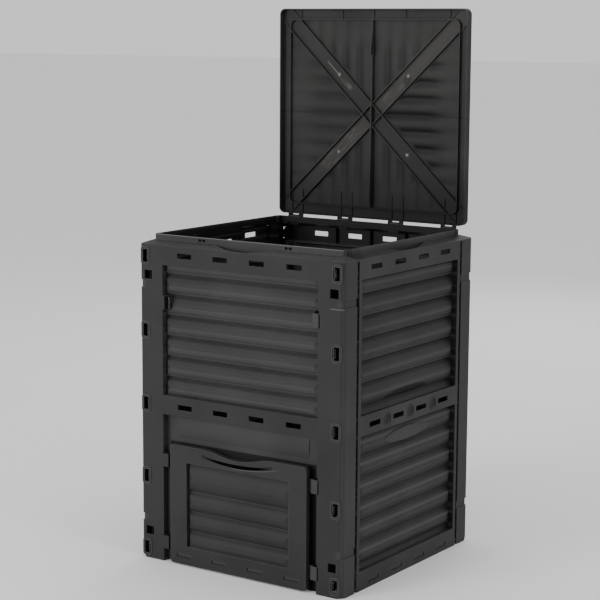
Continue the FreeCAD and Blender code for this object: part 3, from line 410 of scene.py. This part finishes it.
def blind_marks(p, base, height, along, z, middle, half_length, end):
    """A row of shallow blind marks: each has a painted shadow line along its foot and up one end, and a slightly
    lighter face.
    """
    local = ((along / SLOT_SPACING).fraction() - 0.5) * SLOT_SPACING
    rise = z - middle
    reach = local.size()
    tall = MARK_HALF_HEIGHT
    foot = 1 - p.ramp((rise + tall).size(), 0.0010, 0.0020)
    foot = foot * (1 - p.ramp(reach, half_length, half_length + 0.0008))
    upright = 1 - p.ramp((local - end * half_length).size(), 0.0010, 0.0020)
    upright = upright * (1 - p.ramp(rise.size(), tall, tall + 0.0008))
    face = (1 - p.ramp(reach, half_length - 0.001, half_length)) * (1 - p.ramp(rise.size(), tall - 0.001, tall))
    row = 1 - p.ramp(along.size(), 2 * SLOT_SPACING - 0.002, 2 * SLOT_SPACING)
    base = p.mix(face * row * 0.35, base, grey(0.045))
    # painted shadow lines along each mark's foot and up one end
    base = p.mix(foot * row * 0.9, base, grey(0.003))
    return p.mix(upright * row * 0.9, base, grey(0.003)), height - face * row


def board_stripes(p, z, crease, pitch, stripes):
    """Soft stripes at the same places on each board, by the drop of z under its crease."""
    drop = ((crease - z) / pitch).fraction() * (pitch * 1000)
    total = 0.0
    for start, end, fade, strength in stripes:
        total = p.within(drop, start, end, fade) * strength + total
    return total


def paint_board_light(p, base, board_highlight, dark):
    """Painted highlight along some stripes of the boards and painted shade along others."""
    # painted highlight stripes lighten, painted shade stripes darken
    base = p.mix(board_highlight * 0.75, base, (0.056, 0.054, 0.059, 1))
    return p.mix(dark * 0.75, base, grey(0.007))


def wall_marks(p, base, height):
    """Front and back walls: painted highlight and shade on the boards, painted highlight on the rim and ledge,
    painted shade behind the hatch, blind marks.
    """
    x, y, z = p.axes(p.place())
    base = wall_tones(p, base, x, y, z)
    near, far = FIELD_DEPTHS
    front = (1 - p.ramp(y, far, far + 0.0010)) * p.ramp(y, near, near + 0.0016)
    front = front * p.within(z, *FIELD_HEIGHTS, 0.001)
    front = front * (1 - p.ramp(x.size(), FIELD_HALF, FIELD_HALF + 0.0015))
    # painted highlight and painted shade stripes on the front boards
    base = paint_board_light(p, base, board_stripes(p, z, FRONT_CREASE, FRONT_PITCH, FRONT_PAINTED_HIGHLIGHT) * front,
                         board_stripes(p, z, FRONT_CREASE, FRONT_PITCH, FRONT_PAINTED_SHADE) * front)
    # painted highlight along the rim's top edge
    crest = p.ramp(z, RIM_TOP - 0.0022, RIM_TOP - 0.0012)
    crest = crest * (1 - p.ramp(y, RIM_FACE + 0.0008, RIM_FACE + 0.0016))
    base = p.mix(crest * 0.65, base, grey(0.14, 0.03))
    # painted highlight on the ledge by the right corner
    ledge = p.within(z, *LEDGE, 0.0006) * p.ramp(x, 0.262, 0.272) * (1 - p.ramp(y, -0.300, -0.298))
    base = p.mix(ledge * 0.55, base, grey(0.13, 0.03))
    # painted shade on the front wall behind and above the hatch
    near, far = HATCH_SHADE_DEPTHS
    behind = 1 - p.ramp(z, HATCH_SHADE_TOP - 0.0012, HATCH_SHADE_TOP)
    behind = behind * (1 - p.ramp(x.size(), HATCH_SHADE_HALF, HATCH_SHADE_HALF + 0.002))
    behind = behind * p.ramp(y, near, near + 0.0014) * (1 - p.ramp(y, far, far + 0.005))
    base = p.mix(behind * 0.96, base, grey(0.001))
    return blind_marks(p, base, height, x, z, MARK_MIDDLE, MARK_HALF_LENGTH, 1)


def side_marks(p, base, height):
    """Painted shade on the snap hooks behind their slots, at the boards' far ends and in the round dents; painted
    highlight and shade along the boards.
    """
    x, y, z = p.axes(p.place())
    base = wall_tones(p, base, x, y, z)
    along = (y - Y_SHIFT).size()
    # painted shade on the snap hooks seen through their slots
    hooks = p.ramp(along, HOOK_START, HOOK_START + 0.0010)
    base = p.mix(hooks * 0.85, base, grey(0.004))
    boards = 1 - p.ramp(x.size(), WALL_FACE - 0.0028, WALL_FACE - 0.0012)
    lower = 1 - p.ramp(z, FIELD_PARTING, FIELD_PARTING + 0.0010)
    upper = 1 - lower
    # painted highlight and painted shade stripes on the side boards
    board_highlight = (board_stripes(p, z, UPPER_CREASE, SIDE_PITCH, UPPER_PAINTED_HIGHLIGHT) * upper
              + board_stripes(p, z, LOWER_CREASE, SIDE_PITCH, LOWER_PAINTED_HIGHLIGHT) * lower) * boards
    dark = (board_stripes(p, z, UPPER_CREASE, SIDE_PITCH, UPPER_PAINTED_SHADE) * upper
            + board_stripes(p, z, LOWER_CREASE, SIDE_PITCH, LOWER_PAINTED_SHADE) * lower) * boards
    base = paint_board_light(p, base, board_highlight, dark)
    # painted shadow at the far ends of the boards
    ends = p.ramp(along, 0.196, 0.216) * boards
    base = p.mix(ends * (1 - board_highlight) * 0.50, base, grey(0.005))
    for k in (-1, 0, 1):
        across = (y - (Y_SHIFT + k * SLOT_SPACING)) / DENT_HALF_LENGTH
        rise = (z - DENT_HEIGHT) / DENT_HALF_HEIGHT
        reach = (across * across + rise * rise) ** 0.5
        dent = 1 - p.ramp(reach, 0.15, 1.0)
        height = height - dent * 1.1
        # painted shade in each dent
        base = p.mix((1 - p.ramp(reach, 0.6, 1.0)) * 0.85, base, grey(0.008))
    return blind_marks(p, base, height, y - Y_SHIFT, z, MARK_MIDDLE, SIDE_MARK_HALF_LENGTH, 1)


def hatch_marks(p, base, height):
    """The hatch's finger slot lies in a shallow groove painted with shade, with a painted highlight on its lower
    lip.
    """
    x, y, z = p.axes(p.place())
    bow = x / HANDLE_HALF
    rise = z - (HANDLE_MIDDLE + HANDLE_BOW * (bow * bow))
    face = 1 - p.ramp(y, HATCH_FACE + 0.0012, HATCH_FACE + 0.0020)
    groove = (1 - p.ramp(rise.size(), 0.0036, 0.0048)) * face
    groove = groove * (1 - p.ramp(x.size(), HANDLE_HALF + 0.005, HANDLE_HALF + 0.011))
    lip = (1 - p.ramp((rise + 0.0062).size(), 0.0006, 0.0014)) * face
    lip = lip * p.within(x, 0.0, HANDLE_HALF + 0.006, 0.03)
    # painted shade in the groove round the finger slot
    base = p.mix(groove * 0.85, base, grey(0.004))
    # painted highlight on the lower lip
    base = p.mix(lip * 0.55, base, grey(0.085))
    return blind_marks(p, base, height - groove, x, z, HATCH_MARK_MIDDLE, MARK_HALF_LENGTH, -1)


def matt_floor():
    p = Paint("studio floor")
    mottle = p.noise(p.place(), 1.5, 2.0)
    return p.finish(Base_Color=p.mix(mottle * 0.2, FLOOR_COLOUR, grey(0.8)), Roughness=0.9)


def dress(node, material):
    data = nodes[node].data
    data.materials.clear()
    data.materials.append(material)


walls = moulded_plastic("black moulded walls", grey(0.026, 0.01), grey(0.034, 0.01), 0.48, 0.0,
                        marks=wall_marks)
sides = moulded_plastic("black moulded side walls", grey(0.022, -0.01), grey(0.030, -0.01), 0.42, 2.3,
                        marks=side_marks)
lid_black = moulded_plastic("black moulded lid", grey(0.019, 0.03), grey(0.026, 0.03), 0.52, 4.1,
                            marks=lid_marks)
# the hatch gets a wider, stronger painted edge highlight
hatch_black = moulded_plastic("black moulded hatch", grey(0.0175), grey(0.0225), 0.50, 6.7,
                              edge_radius=0.0018, painted_edge_highlight=0.70, marks=hatch_marks)
for node in ("front_panel", "back_panel"):
    dress(node, walls)
for node in ("left_panel", "right_panel"):
    dress(node, sides)
dress("lid", lid_black)
dress("hatch_door", hatch_black)


def solid_piece(name, points, faces, material, body):
    """Closed mesh of the bin's own, carried by a body."""
    mesh = bpy.data.meshes.new(name)
    mesh.from_pydata(points, [], faces)
    mesh.materials.append(material)
    made = bpy.data.objects.new(name, mesh)
    bpy.context.scene.collection.objects.link(made)
    return carried(made, body)


def carried(piece, body, crease=35):
    """Soft shading up to the crease angle, then the piece rides on its body."""
    work = bmesh.new()
    work.from_mesh(piece.data)
    bmesh.ops.remove_doubles(work, verts=work.verts, dist=1e-6)
    bmesh.ops.dissolve_degenerate(work, edges=work.edges, dist=1e-7)
    bmesh.ops.recalc_face_normals(work, faces=work.faces)
    work.to_mesh(piece.data)
    work.free()
    piece.data.shade_smooth()
    piece.data.set_sharp_from_angle(angle=math.radians(crease))
    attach(piece, body)
    return piece


def flute_sheet(g, turn, start, slope, far, edge, has_middle, depth):
    """One fluted triangle of the lid: its point at the middle, its flutes running outwards."""
    grid = g.node("GeometryNodeMeshGrid", {}, {"Size X": 1.0, "Size Y": 1.0, "Vertices X": 40,
                                               "Vertices Y": 161})
    s, t, _ = g.axes(g.node("GeometryNodeInputPosition"))
    half = (far - start) * slope - 0.0015
    v = t * (2 * half)
    first = v.size() / slope + start
    run = (far - first) * (s + 0.5)
    u = first + run
    pitch = g.size("Pitch")
    groove = ((v / pitch * (2 * math.pi)).cosine() * 0.5 + 0.5) ** 1.5
    room = g.ramp(run, 0.002, 0.013) * (1 - g.ramp(u, edge - 0.080, edge - 0.002))
    room = room * (1 - g.ramp(v.size(), half * 0.80, half * 0.86))
    if not has_middle:
        room = room * g.ramp(v.size(), 0.022, 0.033)
    w = g.size("Proud") - groove * (g.size("Shallow") + (depth - g.size("Shallow")) * room)
    place = g.node("ShaderNodeCombineXYZ", {}, {0: u, 1: w * -1.0, 2: v})
    sheet = g.node("GeometryNodeSetPosition", {}, {"Geometry": grid, "Position": place})
    return g.node("GeometryNodeTransform", {}, {"Geometry": sheet, "Rotation": (0, math.radians(turn), 0),
                                                "Translation": (0, LID_INNER_Y, LID_MIDDLE_Z)})


def lid_flutes(material):
    """Soft pressed flutes between the cross bands, over the plain ridges of the plate."""
    g = Grown("lid flutes", {"Pitch": "Float", "Proud": "Float", "Shallow": "Float", "Right": "Float",
                             "Left": "Float", "Ends": "Float"})
    wide = BAND_RUN[1] / BAND_RUN[0]
    tall = 1 / wide
    start_x = BAND_HALF * math.hypot(1, wide) / wide + FLUTE_CLEAR
    start_y = BAND_HALF * math.hypot(1, tall) / tall + FLUTE_CLEAR
    far_x = LID_FRAME_X - FLUTE_CLEAR
    far_y = LID_FRAME_Y - FLUTE_CLEAR
    edge_x = LID_FRAME_X - FLUTE_EDGE
    edge_y = LID_FRAME_Y - FLUTE_EDGE
    sheets = [flute_sheet(g, 0, start_x, wide, far_x, edge_x, True, g.size("Right")),
              flute_sheet(g, 180, start_x, wide, far_x, edge_x, True, g.size("Left")),
              flute_sheet(g, -90, start_y, tall, far_y, edge_y, False, g.size("Ends")),
              flute_sheet(g, 90, start_y, tall, far_y, edge_y, False, g.size("Ends"))]
    g.end(g.join(sheets), material)
    made = g.make("lid_flutes", {"Pitch": FLUTE_PITCH, "Proud": 0.0016, "Shallow": 0.0012, "Right": 0.0048,
                                 "Left": 0.0030, "Ends": 0.0036}, thick=0.0018)
    carried(made, "lid", 50)


def lid_fins(material):
    """The middle rib's two deeper stretches: a fin towards the front edge and a tall rear half."""
    for name, line in (("lid_front_fin", LID_FRONT_FIN), ("lid_rear_fin", LID_REAR_FIN)):
        points = []
        for x in (-0.0016, 0.0016):
            points += [(x, LID_INNER_Y - h, LID_MIDDLE_Z - y) for y, h in line]
        n = len(line)
        faces = [tuple(range(n)), tuple(reversed(range(n, 2 * n)))]
        faces += [(k, n + k, n + (k + 1) % n, (k + 1) % n) for k in range(n)]
        solid_piece(name, points, faces, material, "lid")


def gate_marks(material):
    """Four moulding gates on the lid's cross bands, each a low stub in a faint ring."""
    g = Grown("gate marks", {"Stub": "Float", "Ring": "Float", "Across": "Float", "Along": "Float"})
    stub = g.node("GeometryNodeMeshCone", {}, {"Vertices": 14, "Radius Top": g.size("Stub") * 0.55,
                                               "Radius Bottom": g.size("Stub"), "Depth": 0.0012})
    ring = g.node("GeometryNodeCurveToMesh", {}, {
        "Curve": g.node("GeometryNodeCurvePrimitiveCircle", {}, {"Resolution": 20, "Radius": g.size("Ring")}),
        "Profile Curve": g.node("GeometryNodeCurvePrimitiveCircle", {}, {"Resolution": 6, "Radius": 0.0004})})
    mark = g.node("GeometryNodeTransform", {}, {"Geometry": g.join([stub, ring]),
                                                "Rotation": (math.radians(90), 0, 0)})
    spots = g.node("GeometryNodeMeshGrid", {}, {"Size X": g.size("Across"), "Size Y": g.size("Along"),
                                                "Vertices X": 2, "Vertices Y": 2})
    spots = g.node("GeometryNodeTransform", {}, {"Geometry": spots, "Rotation": (math.radians(90), 0, 0),
                                                 "Translation": (0, LID_INNER_Y - 0.0002, LID_MIDDLE_Z)})
    g.end(g.node("GeometryNodeInstanceOnPoints", {}, {"Points": spots, "Instance": mark}), material)
    made = g.make("lid_gate_marks", {"Stub": 0.0036, "Ring": 0.0050, "Across": 0.214, "Along": 0.206})
    carried(made, "lid")


def snap_rims(material):
    """Raised lips round the snap slots, five down each edge of the front and back walls."""
    g = Grown("snap rims", {"Wide": "Float", "Tall": "Float", "Lip": "Float", "First": "Float",
                            "Pitch": "Float", "Count": "Int", "Out": "Float"})
    loops = []
    for wide, tall, corner in ((0, 0, 0.0010), (0.010, 0.010, 0.0060)):
        outline = g.node("GeometryNodeCurvePrimitiveQuadrilateral", {}, {"Width": g.size("Wide") + wide,
                                                                        "Height": g.size("Tall") + tall})
        outline = g.node("GeometryNodeFilletCurve", {"mode": "POLY"}, {"Curve": outline, "Count": 3,
                                                                       "Radius": corner})
        lip = g.node("GeometryNodeCurvePrimitiveCircle", {}, {"Resolution": 8, "Radius": g.size("Lip")})
        loops.append(g.node("GeometryNodeCurveToMesh", {}, {"Curve": outline, "Profile Curve": lip}))
    rim = g.node("GeometryNodeTransform", {}, {"Geometry": g.join(loops), "Rotation": (math.radians(90), 0, 0)})
    step = g.node("ShaderNodeCombineXYZ", {}, {2: g.size("Pitch")})
    columns = []
    for side in (1, -1):
        for face in (-WALL_FACE - 0.0012 + Y_SHIFT, WALL_FACE + 0.0012 + Y_SHIFT):
            first = g.node("ShaderNodeCombineXYZ", {}, {0: g.size("Out") * side, 1: face, 2: g.size("First")})
            line = g.node("GeometryNodeMeshLine", {}, {"Count": g.size("Count"), "Start Location": first,
                                                       "Offset": step})
            columns.append(g.node("GeometryNodeInstanceOnPoints", {}, {"Points": line, "Instance": rim}))
    g.end(g.join(columns), material)
    made = g.make("snap_rims", {"Wide": 0.0164, "Tall": 0.0334, "Lip": 0.0007, "First": 0.0285,
                                "Pitch": 0.1874, "Count": 5, "Out": 0.2855})
    carried(made, "bin")


def clip_plates(material):
    """Lighter faces of the three clips on the right of the hatch's way."""
    g = Grown("clip plates", {"Wide": "Float", "Tall": "Float", "Out": "Float", "Face": "Float"})
    outline = g.node("GeometryNodeCurvePrimitiveQuadrilateral", {}, {"Width": g.size("Wide"),
                                                                    "Height": g.size("Tall")})
    outline = g.node("GeometryNodeFilletCurve", {"mode": "POLY"}, {"Curve": outline, "Count": 3,
                                                                   "Radius": 0.0016})
    plate = g.node("GeometryNodeFillCurve", {"mode": "NGONS"}, {"Curve": outline})
    plate = g.node("GeometryNodeTransform", {}, {"Geometry": plate, "Rotation": (math.radians(90), 0, 0)})
    placed = []
    for z in CLIP_HEIGHTS:
        spot = g.node("ShaderNodeCombineXYZ", {}, {0: g.size("Out"), 1: g.size("Face"), 2: z})
        placed.append(g.node("GeometryNodeTransform", {}, {"Geometry": plate, "Translation": spot}))
    g.end(g.join(placed), material)
    made = g.make("clip_plates", {"Wide": 0.0170, "Tall": 0.0335, "Out": 0.2255, "Face": CLIP_FACE - 0.0005},
                  thick=0.0009)
    carried(made, "bin")


def slabs(name, spans, material):
    """Thin straight slabs on the walls, each from its lowest to its highest corner."""
    points, faces = [], []
    for (x0, y0, z0), (x1, y1, z1) in spans:
        n = len(points)
        points += [(x, y, z) for x in (x0, x1) for y in (y0, y1) for z in (z0, z1)]
        faces += [tuple(n + k for k in face) for face in ((0, 1, 3, 2), (4, 6, 7, 5), (0, 4, 5, 1), (2, 3, 7, 6),
                                                          (0, 2, 6, 4), (1, 5, 7, 3))]
    solid_piece(name, points, faces, material, "bin")


def clip_edges(dark, light):
    """Dark slabs of painted shadow beside and over the clips and in the left parking clip's pocket, and the open
    hook of the left parking clip.
    """
    proud, root = CLIP_FACE - 0.0008, CLIP_FACE + 0.0010
    spans = []
    for z in CLIP_HEIGHTS:
        spans.append(((0.2345, proud, z - 0.0175), (0.2368, root, z + 0.0150)))
        spans.append(((0.2250, proud, z + 0.0172), (0.2345, root, z + 0.0235)))
    for z in CLIP_HEIGHTS[:2]:
        spans.append(((-0.2160, proud, z - 0.0175), (-0.2136, root, z + 0.0170)))
        spans.append(((-0.2335, proud, z + 0.0165), (-0.2160, root, z + 0.0185)))
    z = CLIP_HEIGHTS[2]
    spans.append(((-0.2255, proud, z - 0.0165), (-0.2110, root, z + 0.0170)))
    # these slabs are painted shadow
    slabs("clip_shadow_slabs", spans, dark)
    hook = []
    for k in range(9):
        a = -1 + k / 4
        hook.append((-0.2092 - 0.0012 * a * a, z + 0.0150 * a))
    points = [(x + dx, y, h) for dx in (0, -0.0016) for y in (proud - 0.0008, root) for x, h in hook]
    n = len(hook)
    faces = [(k, k + 1, k + 1 + n, k + n) for k in range(n - 1)]
    faces += [(2 * n + k, 3 * n + k, 3 * n + k + 1, 2 * n + k + 1) for k in range(n - 1)]
    faces += [(k, 2 * n + k, 2 * n + k + 1, k + 1) for k in range(n - 1)]
    faces += [(n + k, n + k + 1, 3 * n + k + 1, 3 * n + k) for k in range(n - 1)]
    faces += [(0, n, 3 * n, 2 * n), (n - 1, 3 * n - 1, 4 * n - 1, 2 * n - 1)]
    solid_piece("parking_hook_left", points, faces, light, "bin")


def surface_below(tree, start, way):
    """Distance from a point to the wall along a direction."""
    return tree.ray_cast(Vector(start), Vector(way))[3]


def lens_plate(name, node, side, z_mid, tall, flat, material):
    """Bare lens-shaped plate in a side wall's recess, lying on the boards or standing upright on one."""
    mesh = nodes[node].data
    tree = BVHTree.FromPolygons([v.co for v in mesh.vertices], [p.vertices for p in mesh.polygons])
    cols, rows = 48, 8
    outside = WALL_FACE + 0.05
    fronts, backs = [], []
    crest = min(surface_below(tree, (side * outside, Y_SHIFT, z_mid + dz), (-side, 0, 0))
                for dz in (-0.004, 0, 0.004))
    for i in range(cols + 1):
        a = -1 + 2 * i / cols
        shape = max(1 - a * a, 0.0) ** 0.62 + 0.02
        for j in range(rows + 1):
            b = -1 + 2 * j / rows
            y = Y_SHIFT + PLATE_HALF * a
            z = z_mid + tall / 2 * shape * b
            depth = surface_below(tree, (side * outside, y, z), (-side, 0, 0))
            lift = PLATE_PROUD * (1 - 0.75 * max(abs(b), abs(a)) ** 8)
            front = min(crest, depth) - lift if flat else depth - lift
            fronts.append((side * (outside - front), y, z))
            backs.append((side * (outside - depth - 0.001), y, z))
    count = len(fronts)
    step = rows + 1
    faces = []
    for i in range(cols):
        for j in range(rows):
            a = i * step + j
            faces.append((a, a + step, a + step + 1, a + 1))
            faces.append((count + a, count + a + 1, count + a + step + 1, count + a + step))
    ring = [i * step for i in range(cols + 1)] + [cols * step + j for j in range(1, rows + 1)]
    ring += [i * step + rows for i in range(cols - 1, -1, -1)] + [j for j in range(rows - 1, 0, -1)]
    for k, a in enumerate(ring):
        b = ring[(k + 1) % len(ring)]
        faces.append((a, count + a, count + b, b))
    solid_piece(name, fronts + backs, faces, material, "bin")


def catch_marks(material):
    """Two small catch marks on the front rim, each a pair of pips joined by a line, made as a thin black plate of
    painted shade.
    """
    out, near, pip, line = 0.0096, 0.0036, 0.0031, 0.0008
    outline = [(-out, pip), (-near, pip), (-near, line), (near, line), (near, pip), (out, pip), (out, -pip),
               (near, -pip), (near, -line), (-near, -line), (-near, -pip), (-out, -pip)]
    n = len(outline)
    for name, x0 in CATCHES:
        points = []
        for y in (RIM_FACE - 0.0006, RIM_FACE + 0.0008):
            points += [(x0 + x, y, CATCH_HEIGHT + z) for x, z in outline]
        faces = [tuple(range(n)), tuple(reversed(range(n, 2 * n)))]
        faces += [(k, n + k, n + (k + 1) % n, (k + 1) % n) for k in range(n)]
        solid_piece(name, points, faces, material, "bin")


# near-black for plates that stand for shade in undercuts and holes
painted_shade_black = moulded_plastic("black painted shade", grey(0.002), grey(0.003), 0.7, 1.2, edge_radius=0.0001,
                      painted_edge_highlight=0.0, shine=0.02)
clip_grey = moulded_plastic("lighter clip face", grey(0.030, -0.03), grey(0.038, -0.03), 0.45, 7.9,
                            edge_radius=0.0006, painted_edge_highlight=0.35)
gate = moulded_plastic("pale gate stub", grey(0.20, 0.05), grey(0.26, 0.05), 0.45, 3.4)
fluted = moulded_plastic("black fluted lid", grey(0.014, 0.03), grey(0.021, 0.04), 0.46, 4.1,
                         marks=shaded_flute_marks)
# the upper plates are painted dark as shade and the lower ones light as lit, for one bare plate
plate_painted_shade = moulded_plastic("bare plate in painted shade", grey(0.004), grey(0.006), 0.6, 8.3)
plate_painted_light = moulded_plastic("bare plate in painted light", grey(0.033), grey(0.040), 0.5, 9.1)
# light grey that paints the highlight on raised rims and on the parking hook's edge
edge_highlight_grey = moulded_plastic("raised edge painted with highlight", grey(0.045), grey(0.060), 0.4, 5.5)
lid_flutes(fluted)
lid_fins(lid_black)
gate_marks(gate)
for label, node, side in (("right", "right_panel", 1), ("left", "left_panel", -1)):
    lens_plate(label + "_upper_plate", node, side, *UPPER_PLATE, False, plate_painted_shade)
    lens_plate(label + "_lower_plate", node, side, *LOWER_PLATE, True, plate_painted_light)
snap_rims(edge_highlight_grey)
clip_plates(clip_grey)
clip_edges(painted_shade_black, edge_highlight_grey)
catch_marks(painted_shade_black)


def floor():
    mesh = bpy.data.meshes.new("floor")
    h = FLOOR_HALF
    mesh.from_pydata([(-h, -h, 0), (h, -h, 0), (h, h, 0), (-h, h, 0)], [], [(0, 1, 2, 3)])
    mesh.materials.append(matt_floor())
    made = bpy.data.objects.new("floor", mesh)
    bpy.context.scene.collection.objects.link(made)


def lamp(name, place, aim, size, power, colour=(1, 1, 1)):
    light = bpy.data.lights.new(name, "AREA")
    light.shape = "SQUARE"
    light.size = size
    light.energy = power
    light.color = colour
    made = bpy.data.objects.new(name, light)
    made.location = place
    made.rotation_euler = (Vector(aim) - Vector(place)).to_track_quat("-Z", "Y").to_euler()
    bpy.context.scene.collection.objects.link(made)


def sky():
    world = bpy.data.worlds.new("studio")
    world.use_nodes = True
    background = world.node_tree.nodes["Background"]
    background.inputs["Color"].default_value = SKY_COLOUR
    background.inputs["Strength"].default_value = SKY_STRENGTH
    bpy.context.scene.world = world


def camera():
    data = bpy.data.cameras.new("camera")
    data.sensor_width = SENSOR_MM
    data.lens = SENSOR_MM * FOCAL_PIXELS / FRAME_PIXELS
    data.clip_end = 200
    made = bpy.data.objects.new("camera", data)
    sy, cy = math.sin(CAMERA_YAW), math.cos(CAMERA_YAW)
    sp, cp = math.sin(CAMERA_PITCH), math.cos(CAMERA_PITCH)
    sr, cr = math.sin(CAMERA_ROLL), math.cos(CAMERA_ROLL)
    ahead = Vector((-sy * cp, cy * cp, -sp))
    level = Vector((cy, sy, 0))
    upright = level.cross(ahead)
    right = level * cr + upright * sr
    up = upright * cr - level * sr
    turn = Matrix((right, up, -ahead)).transposed()
    made.matrix_world = Matrix.Translation(CAMERA_PLACE) @ turn.to_4x4()
    bpy.context.scene.collection.objects.link(made)
    bpy.context.scene.camera = made


floor()
sky()
lamp("key", (-1.7, -4.7, 1.5), (0, 0, 0.5), 2.2, 170)
lamp("fill", (4.2, -0.8, 2.1), (0, 0, 0.4), 1.0, 36)
lamp("top", (0.2, 0.6, 4.2), (0, 0, 0.7), 2.0, 8)
lamp("back", (-0.8, 4.0, 2.6), (0, 0, 0.7), 2.4, 40)
camera()
